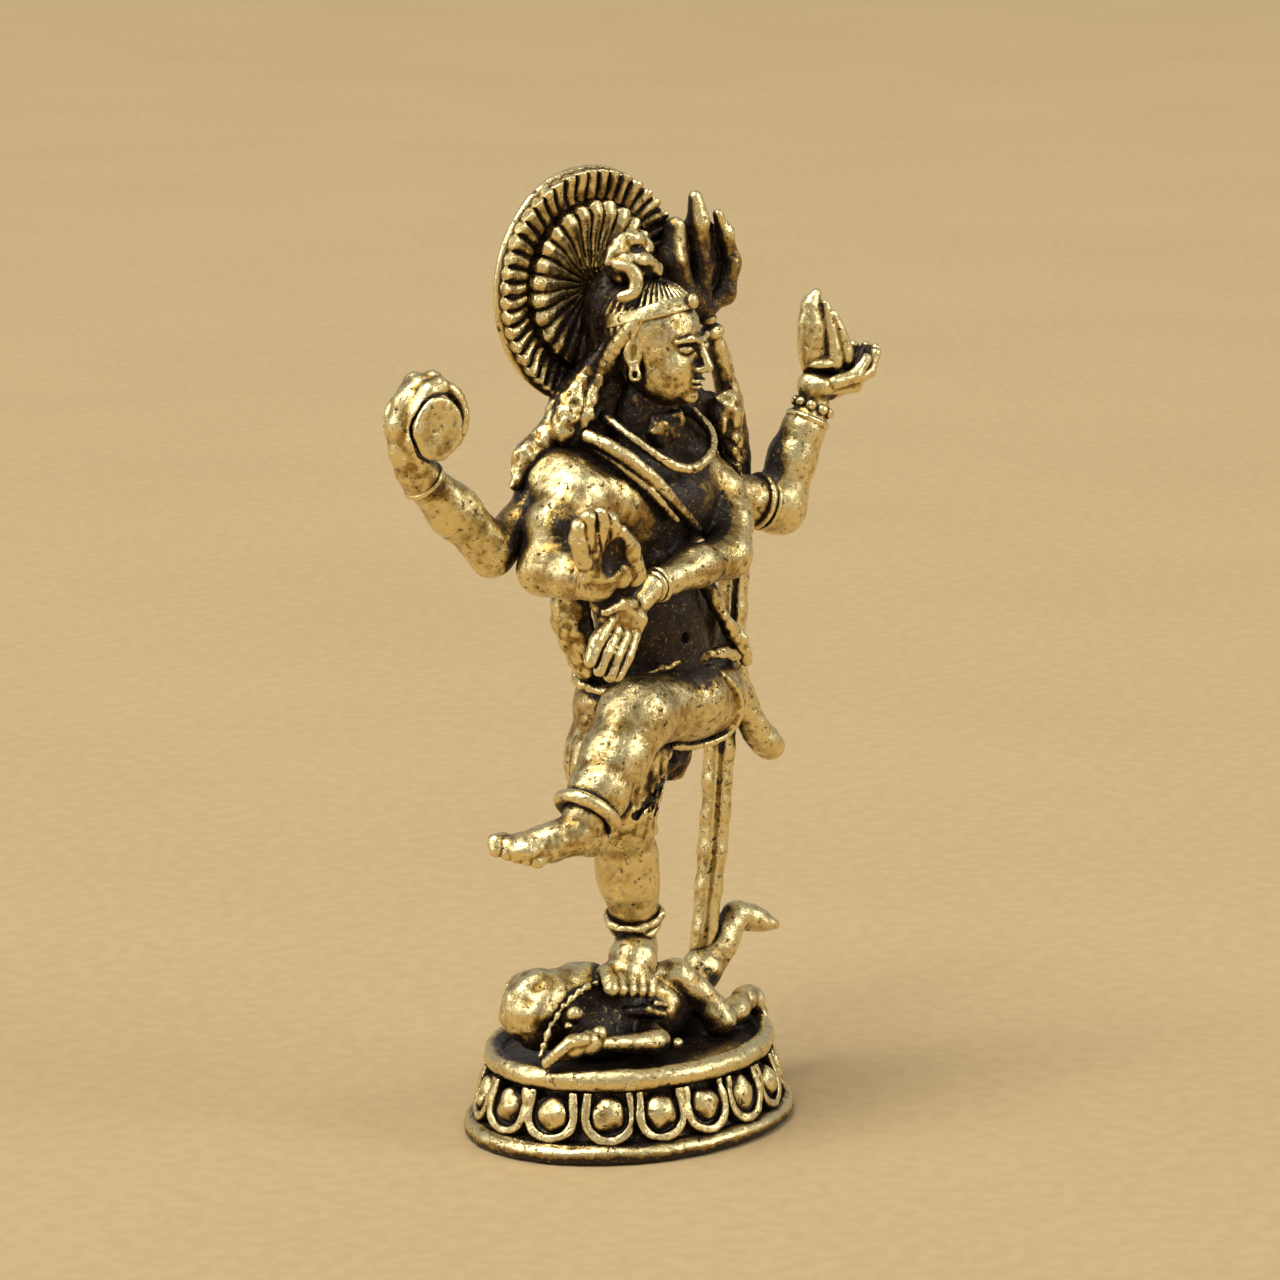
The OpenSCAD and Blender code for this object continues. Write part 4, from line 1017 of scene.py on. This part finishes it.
def outer_distance(p):
    """Short wedges of hair round the halo, thicker towards the rim."""
    r, angle = halo_polar(p)
    ridge = np.abs(np.cos(wobbled(p, angle, r) * 23))
    share = np.clip((r - 4.7) / 1.5, 0, 1)
    height = (0.5 + 0.35 * share) * ridge**0.3 - 0.14
    front = 2.8 - height
    ends = np.maximum(r - 6.35 - 0.1 * ridge, 4.75 + 0.15 * (1 - ridge) - r)
    return np.maximum(ends, np.maximum((front - p[1]) * 0.55, p[1] - 3.0)) * 0.8


def inner_distance(p):
    """The inner rays of hair, rounded at their tips and sunk towards the middle."""
    r, angle = halo_polar(p)
    turn = wobbled(p, angle, r)
    ridge = np.abs(np.cos(turn * 13))
    share = np.clip((r - 0.8) / 3.2, 0, 1)
    height = 0.5 + 0.55 * share + (0.55 * ridge**0.28 - 0.5) * (0.4 + share)
    tips = 4.35 + 0.35 * ridge**0.8 + 0.12 * noise(p, 1.5)
    front = 2.9 - height + np.clip(r - 4.1, 0, 1) * 0.3
    return np.maximum(r - tips, np.maximum((front - p[1]) * 0.55, p[1] - 3.0)) * 0.8


halo_low = (HALO[0] - HALO_R, 1.4, HALO[2] - HALO_R)
halo_high = (HALO[0] + HALO_R, 3.8, HALO[2] + HALO_R)
piece("halo_disc", Shape(disc_distance, halo_low, halo_high), ["halo_disc"], slot="dark_brass", patina_and_shade=0.15)
piece("halo_outer_hair", Shape(outer_distance, halo_low, halo_high), ["halo_strands"], FINE, patina_and_shade=-0.5)
piece("halo_inner_hair", Shape(inner_distance, halo_low, halo_high), ["halo_strands"], FINE, patina_and_shade=-0.95)

# -------------------------------------------------------------------- trident
STAFF = [(7.1, 2.2, 4.6), (8.4, 2.2, 14.0), (9.1, 2.2, 22.0), (10.0, 2.2, 30.0), (10.1, 2.2, 37.0),
         (9.2, 2.0, 41.0), (7.8, 1.6, 44.3)]
staff_bar = cord(STAFF, [0.74, 0.95, 0.85, 0.5], k=0.2, at=[0, 0.35, 0.7, 1])
staff_groove = cord([shift(q, -0.5, -0.72) for q in STAFF], [0.16])
trident_head = join(
    0.12,
    egg((6.75, 1.9, 48.2), (2.2, 0.3, 2.9)),
    path([(6.9, 1.5, 45.8), (5.2, 1.5, 46.9), (4.5, 1.45, 48.8), (4.7, 1.45, 50.6)],
         [0.55, 0.85, 0.9, 0.6], 0.3),
    path([(6.9, 1.5, 45.8), (6.7, 1.45, 48.4), (6.4, 1.4, 50.8), (6.2, 1.4, 52.2)],
         [0.55, 0.6, 0.62, 0.42], 0.3),
    path([(7.1, 1.5, 45.8), (8.5, 1.5, 46.5), (9.05, 1.45, 48.2), (8.5, 1.45, 49.9), (7.95, 1.45, 51.1)],
         [0.55, 0.6, 0.55, 0.48, 0.34], 0.3))
piece("trident_staff", carve(0.12, roughened(staff_bar, 0.06, 1.4), staff_groove), ["trident_staff"])
collar = join(0.1, egg((7.2, 1.5, 45.2), (0.6, 0.5, 0.4)), egg((7.7, 1.6, 44.4), (0.75, 0.65, 0.55)))
piece("trident_collar", collar, ["trident_collar"], FINE)
piece("trident_head", roughened(trident_head, 0.08, 0.8), ["trident_head"], FINE, patina_and_shade=0.12)

# ------------------------------------------------------------------ building
AIR_PITCH = 0.25  # mm, lattice of the distance to the whole figure
AIR_MARGIN = 4.0  # mm kept round the figure in that lattice
SKY_RAYS = 22
GOLDEN_ANGLE = 2.399963  # radians between one ray and the next
CAST_LUMPS = ((0.04, 1.3), (0.03, 0.55), (0.014, 0.27))  # mm high, mm wide: unevenness of the cast skin


def normals_of(vertices, quads):
    """Unit normals at the vertices."""
    a, b, c, d = (vertices[quads[:, i]] for i in range(4))
    across = np.repeat(np.cross(c - a, d - b), 4, axis=0)
    total = np.stack([np.bincount(quads.ravel(), across[:, i], len(vertices)) for i in range(3)], 1)
    return total / (np.linalg.norm(total, axis=1, keepdims=True) + 1e-12)


def edges_of(quads):
    """Start and end vertex of each side of each quad."""
    pairs = np.concatenate([quads[:, (i, (i + 1) % 4)] for i in range(4)])
    return pairs[:, 0], pairs[:, 1]


def blurred(values, here, there, times):
    """values averaged over neighbouring vertices."""
    count = np.bincount(here, minlength=len(values)) + 1e-9
    for _ in range(times):
        values = 0.5 * values + 0.5 * np.bincount(here, values[there], len(values)) / count
    return values


def bend_of(vertices, normals, here, there):
    """How far the surface bends at each vertex, in 1/mm: above 0 on ridges, below 0 in grooves."""
    run = vertices[there] - vertices[here]
    bend = ((normals[there] - normals[here]) * run).sum(1) / ((run * run).sum(1) + 1e-9)
    count = np.bincount(here, minlength=len(vertices)) + 1e-9
    return np.bincount(here, bend, len(vertices)) / count


def build_lattice_of_air():
    """Distance to the whole figure on a coarse lattice."""
    low = np.min([s[1].low for s in PIECES], 0) - AIR_MARGIN
    low[2] = -AIR_MARGIN
    high = np.max([s[1].high for s in PIECES], 0) + AIR_MARGIN
    count = np.ceil((high - low) / AIR_PITCH).astype(int) + 1
    air = np.full(count, AIR_MARGIN, np.float32)
    for _, shape, *_ in PIECES:
        first = np.maximum(((shape.low - 2.5 - low) / AIR_PITCH).astype(int), 0)
        last = np.minimum(((shape.high + 2.5 - low) / AIR_PITCH).astype(int) + 1, count)
        axes = [np.arange(first[i], last[i]) * AIR_PITCH + low[i] for i in range(3)]
        p = np.stack(np.meshgrid(*axes, indexing="ij")).reshape(3, -1).astype(np.float32)
        box = tuple(slice(first[i], last[i]) for i in range(3))
        air[box] = np.minimum(air[box], shape(p).reshape(air[box].shape))
    heights = np.arange(count[2]) * AIR_PITCH + low[2]
    return np.minimum(air, heights[None, None, :].astype(np.float32) + 0.5), low


def sky_share(points, normals, air, low):
    """Share of the sky round each point that the figure leaves open."""
    directions = []
    for i in range(SKY_RAYS):
        z = 1 - 2 * (i + 0.5) / SKY_RAYS
        turn = i * GOLDEN_ANGLE
        directions.append((math.sqrt(1 - z * z) * math.cos(turn), math.sqrt(1 - z * z) * math.sin(turn), z))
    open_sky = np.zeros(len(points))
    whole = np.zeros(len(points))
    top = np.array(air.shape) - 1
    for d in np.array(directions):
        facing = np.maximum(normals @ d, 0.0)
        clear = np.ones(len(points))
        for reach in (0.5, 0.9, 1.5, 2.4, 3.8):
            spot = ((points + 0.12 * normals + d * reach - low) / AIR_PITCH + 0.5).astype(int)
            spot = np.clip(spot, 0, top)
            gap = air[spot[:, 0], spot[:, 1], spot[:, 2]]
            clear = np.minimum(clear, np.clip(gap / (0.45 * reach) + 0.1, 0, 1))
        open_sky += facing * clear
        whole += facing
    return open_sky / (whole + 1e-6)


def crevice(points, normals):
    """How closely other surfaces crowd round each point, from 0 to 1."""
    crowd = np.zeros(len(points))
    for reach in (0.16, 0.4):
        spots = points + normals * reach
        gap = np.full(len(points), reach)
        for _, shape, *_ in PIECES:
            near = np.all((spots > shape.low - reach) & (spots < shape.high + reach), 1)
            if near.any():
                gap[near] = np.minimum(gap[near], shape(spots[near].T.astype(np.float32)))
        crowd += 0.5 * np.clip(1 - gap / reach, 0, 1.3)
    return crowd


def write_attribute(mesh, name, values):
    mesh.attributes.new(name, "FLOAT", "POINT").data.foreach_set("value", values.astype(np.float32))


AIR, AIR_LOW = build_lattice_of_air()
OBJECTS = []


def build(name, shape, nodes, pitch, slot_name, patina_and_shade):
    """Mesh one piece with the unevenness of its casting and the masks for its patina and painted shade, and
    hand it to the frame.
    """
    values, low = sample(shape, pitch)
    vertices, quads = surface_net(values, low, pitch)
    normals = normals_of(vertices, quads)
    for height, size in CAST_LUMPS:
        vertices = vertices + normals * (height * noise(vertices.T.astype(np.float32), size))[:, None]
    vertices[:, 2] = np.maximum(vertices[:, 2], 0.0)
    here, there = edges_of(quads)
    normals = normals_of(vertices, quads)
    bend = blurred(bend_of(vertices, normals, here, there), here, there, 3)
    sky = blurred(sky_share(vertices, normals, AIR, AIR_LOW), here, there, 4)
    mesh = make_mesh(name, vertices * UNIT, quads)
    write_attribute(mesh, "open_sky", sky)
    write_attribute(mesh, "crevice", blurred(crevice(vertices, normals), here, there, 1))
    write_attribute(mesh, "bend", np.clip(0.5 + bend * 0.12, 0, 1))
    # Per-piece extra patina and painted shade, read by the material.
    write_attribute(mesh, "patina_and_shade", np.full(len(vertices), patina_and_shade))
    made = bpy.data.objects.new(name, mesh)
    bpy.context.scene.collection.objects.link(made)
    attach(made, "root")
    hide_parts(*nodes)
    OBJECTS.append(made)


for entry in PIECES:
    build(*entry)
print("all quads", sum(len(made.data.polygons) for made in OBJECTS))


# ----------------------------------------------------------------- materials
class Nodes:
    """Short calls for building a material's nodes."""

    def __init__(self, name):
        self.material = bpy.data.materials.new(name)
        self.material.use_nodes = True
        self.tree = self.material.node_tree
        self.shader = self.tree.nodes["Principled BSDF"]

    def add(self, kind, inputs=None, **settings):
        node = self.tree.nodes.new(kind)
        for key, value in settings.items():
            setattr(node, key, value)
        for key, value in (inputs or {}).items():
            self.put(node.inputs[key], value)
        return node

    def put(self, socket, value):
        """Link value to socket when it comes from a node, or else set it."""
        if isinstance(value, bpy.types.NodeSocket):
            self.tree.links.new(value, socket)
        else:
            socket.default_value = value

    def math(self, operation, a, b):
        return self.add("ShaderNodeMath", {0: a, 1: b}, operation=operation).outputs[0]

    def span(self, value, low, high, to_low=0.0, to_high=1.0):
        """value carried smoothly from low..high to to_low..to_high."""
        keys = {"Value": value, "From Min": low, "From Max": high, "To Min": to_low, "To Max": to_high}
        return self.add("ShaderNodeMapRange", keys, interpolation_type="SMOOTHSTEP").outputs[0]

    def mix(self, share, a, b):
        """Colour that is a where share is 0 and b where it is 1."""
        node = self.add("ShaderNodeMix", data_type="RGBA")
        self.put(node.inputs[0], share)
        self.put(node.inputs[6], a)
        self.put(node.inputs[7], b)
        return node.outputs[2]

    def attribute(self, name):
        return self.add("ShaderNodeAttribute", attribute_name=name).outputs["Fac"]


# Places (mm) painted darker, with the radius over which the darkening reaches: partly patina that rubbing
# doesn't reach, partly painted shade under and between parts.
PATINA_AND_SHADE_SPOTS = (
    ((2.0, -2.5, 29.5), 5.2), ((1.4, -2.7, 28.6), 4.2),  # belly
    ((2.6, -2.5, 35.4), 4.0), ((-6.9, -2.3, 36.0), 1.5),  # chest and shoulder
    ((1.0, -1.8, 40.4), 2.9), ((5.5, 1.0, 39.6), 2.6), ((-1.8, 1.8, 45.0), 3.0),  # neck and hair
    ((6.9, 1.4, 47.4), 3.8),  # trident
    ((3.2, 0.0, 20.6), 2.8), ((-0.6, -2.7, 20.0), 1.7),  # loincloth
    ((-3.0, -2.2, 6.4), 2.6), ((-8.4, -1.3, 7.6), 1.3),  # dwarf
    ((-7.4, -6.9, 34.6), 1.7), ((-14.0, -0.6, 38.2), 1.1), ((-8.3, -1.2, 38.0), 1.3),  # palm, wrist, lock
)


PATINA_AND_SHADE_FROM, PATINA_AND_SHADE_FULL = 0.42, 0.72  # mask value where the patina and painted shade start, and where they are full


def cast_brass():
    """Brass with bright rubbed ridges, ochre flanks and a near-black patina in its hollows, with painted
    shade added on some pieces and spots, and painted glints in the dark.
    """
    n = Nodes("cast_brass")
    place = n.add("ShaderNodeTexCoord").outputs["Object"]
    mm = n.add("ShaderNodeVectorMath", {0: place}, operation="SCALE")
    mm.inputs["Scale"].default_value = 1.0 / UNIT
    mm = mm.outputs[0]

    def cloud(scale, detail=4.0, rough=0.6):
        keys = {"Vector": mm, "Scale": scale, "Detail": detail, "Roughness": rough}
        return n.add("ShaderNodeTexNoise", keys).outputs["Fac"]

    blotch, mottle, grain = cloud(0.35, 3.0), cloud(1.6, 5.0, 0.7), cloud(9.0, 3.0, 0.65)
    pits = n.span(cloud(2.6, 5.0, 0.72), 0.57, 0.66)
    # Painted glints: small bright specks cut into the dark, standing in for highlights off a rough surface.
    painted_glints = n.span(cloud(4.7, 4.0, 0.7), 0.58, 0.66)

    open_sky, crowd, bend = n.attribute("open_sky"), n.attribute("crevice"), n.attribute("bend")
    # Dark mask: patina in hollows, crevices and grooves, mottle and pits, plus per-piece and spot darkening
    # that is partly painted shade.
    hollow = n.math("ADD", n.span(open_sky, 0.85, 0.32, 0.0, 1.0), n.math("MULTIPLY", crowd, 0.75))
    hollow = n.math("SUBTRACT", hollow, n.math("MULTIPLY", n.math("SUBTRACT", bend, 0.5), 1.1))
    hollow = n.math("ADD", hollow, n.math("MULTIPLY", n.math("SUBTRACT", mottle, 0.5), 1.15))
    hollow = n.math("ADD", hollow, n.math("MULTIPLY", n.math("SUBTRACT", grain, 0.5), 0.6))
    hollow = n.math("ADD", hollow, n.attribute("patina_and_shade"))
    hollow = n.math("ADD", hollow, n.math("MULTIPLY", pits, 0.6))
    # Darker at the listed spots: partly unrubbed patina, partly painted shade.
    for spot, reach in PATINA_AND_SHADE_SPOTS:
        away = n.add("ShaderNodeVectorMath", {0: mm, 1: spot}, operation="DISTANCE").outputs["Value"]
        hollow = n.math("ADD", hollow, n.span(away, reach, 0.45 * reach, 0.0, 0.6))
    # Share of near-black colour: patina plus painted shade, thinned by the painted glints.
    patina = n.span(hollow, PATINA_AND_SHADE_FROM, PATINA_AND_SHADE_FULL)
    patina = n.math("MULTIPLY", patina, n.math("SUBTRACT", 1.0, n.math("MULTIPLY", painted_glints, 0.75)))
    ridge = n.span(n.math("ADD", bend, n.math("MULTIPLY", blotch, 0.4)), 0.6, 0.8)
    rubbed = n.math("MULTIPLY", n.span(hollow, PATINA_AND_SHADE_FROM, 0.02), ridge)

    ochre = n.mix(n.span(blotch, 0.35, 0.65), (0.29, 0.15, 0.03, 1), (0.36, 0.235, 0.055, 1))
    ochre = n.mix(n.span(grain, 0.38, 0.7), ochre, (0.47, 0.34, 0.115, 1))
    metal = n.mix(rubbed, ochre, (0.86, 0.73, 0.39, 1))
    # Near-black colour of the patina and of the painted shade.
    patina_and_shade = n.mix(n.span(mottle, 0.35, 0.7), (0.008, 0.005, 0.004, 1), (0.035, 0.02, 0.012, 1))
    n.put(n.shader.inputs["Base Color"], n.mix(patina, metal, patina_and_shade))
    n.put(n.shader.inputs["Metallic"], n.math("SUBTRACT", 1.0, n.math("MULTIPLY", patina, 0.55)))
    rough = n.math("ADD", n.span(mottle, 0.3, 0.75, 0.2, 0.36), n.math("MULTIPLY", patina, 0.08))
    n.put(n.shader.inputs["Roughness"], n.math("SUBTRACT", rough, n.math("MULTIPLY", rubbed, 0.06)))

    relief = n.math("ADD", n.math("MULTIPLY", grain, 0.35), n.math("MULTIPLY", mottle, 0.9))
    relief = n.math("SUBTRACT", relief, n.math("MULTIPLY", pits, 0.7))
    bump = n.add("ShaderNodeBump", {"Height": relief, "Strength": 0.8, "Distance": 0.09 * UNIT})
    n.put(n.shader.inputs["Normal"], bump.outputs[0])
    return n.material


BRASS = cast_brass()
for made in OBJECTS:
    made.data.materials.append(BRASS)

# --------------------------------------------------------------------- stage
FLOOR_SIZE = 12.0  # m


def kraft_floor():
    """A pale card that the statue stands on."""
    mesh = bpy.data.meshes.new("floor")
    half = FLOOR_SIZE / 2
    corners = [(x * half, y * half, 0) for x, y in ((-1, -1), (1, -1), (1, 1), (-1, 1))]
    mesh.from_pydata(corners, [], [(0, 1, 2, 3)])
    floor = bpy.data.objects.new("floor", mesh)
    bpy.context.scene.collection.objects.link(floor)
    n = Nodes("pale_card")
    place = n.add("ShaderNodeTexCoord").outputs["Object"]
    fibre = n.add("ShaderNodeTexNoise", {"Vector": place, "Scale": 900.0, "Detail": 5.0}).outputs["Fac"]
    cloud = n.add("ShaderNodeTexNoise", {"Vector": place, "Scale": 30.0, "Detail": 2.0}).outputs["Fac"]
    tone = n.math("ADD", n.math("MULTIPLY", fibre, 0.7), n.math("MULTIPLY", cloud, 0.3))
    card = n.mix(n.span(tone, 0.35, 0.65), (0.46, 0.33, 0.163, 1), (0.495, 0.362, 0.182, 1))
    n.put(n.shader.inputs["Base Color"], card)
    n.shader.inputs["Roughness"].default_value = 0.9
    mesh.materials.append(n.material)


kraft_floor()

AZIMUTH, ELEVATION = math.radians(-42.0), math.radians(12.2)
LEVEL_BACK = Vector((math.sin(AZIMUTH), -math.cos(AZIMUTH), 0.0))
BACK = LEVEL_BACK * math.cos(ELEVATION) + Vector((0, 0, math.sin(ELEVATION)))  # from the statue to the camera
RIGHT = Vector((math.cos(AZIMUTH), math.sin(AZIMUTH), 0.0))
UP = BACK.cross(RIGHT)
CAMERA_DISTANCE = 300.0  # mm from the object
LOOK_AT = RIGHT * 0.571 + UP * 27.31  # mm, what the middle of the picture shows

view = bpy.data.cameras.new("camera")
view.lens = 147.66  # mm
view.sensor_width = 36.0
view.clip_start = 0.01
camera = bpy.data.objects.new("camera", view)
camera.location = (LOOK_AT + BACK * CAMERA_DISTANCE) * UNIT
camera.rotation_euler = BACK.to_track_quat("Z", "Y").to_euler()
bpy.context.scene.collection.objects.link(camera)
bpy.context.scene.camera = camera


LIGHT_DISTANCE = 3000.0  # mm
LIGHTS_FACE = Vector((0, 0, 25))  # mm, near the middle of the figure


def softbox(name, direction, size, watts, colour):
    """A square light, size mm wide, that faces the figure from a direction."""
    light = bpy.data.lights.new(name, "AREA")
    light.size = size * UNIT
    light.energy = watts
    light.color = colour
    lamp = bpy.data.objects.new(name, light)
    lamp.location = (LIGHTS_FACE + direction.normalized() * LIGHT_DISTANCE) * UNIT
    lamp.rotation_euler = direction.to_track_quat("Z", "Y").to_euler()
    bpy.context.scene.collection.objects.link(lamp)


softbox("key", UP + BACK * 0.55 - RIGHT * 0.35, 1575, 74.0, (1.0, 0.98, 0.93))
softbox("side", RIGHT + BACK * 0.35 + UP * 0.5, 1144, 28.0, (1.0, 0.97, 0.91))
softbox("left", BACK * 0.4 - RIGHT + UP * 0.45, 1690, 24.0, (1.0, 0.98, 0.94))

world = bpy.data.worlds.new("studio")
world.use_nodes = True
world.node_tree.nodes["Background"].inputs["Color"].default_value = (1.0, 0.96, 0.9, 1)
world.node_tree.nodes["Background"].inputs["Strength"].default_value = 0.4
bpy.context.scene.world = world
bpy.context.scene.view_settings.view_transform = "Standard"
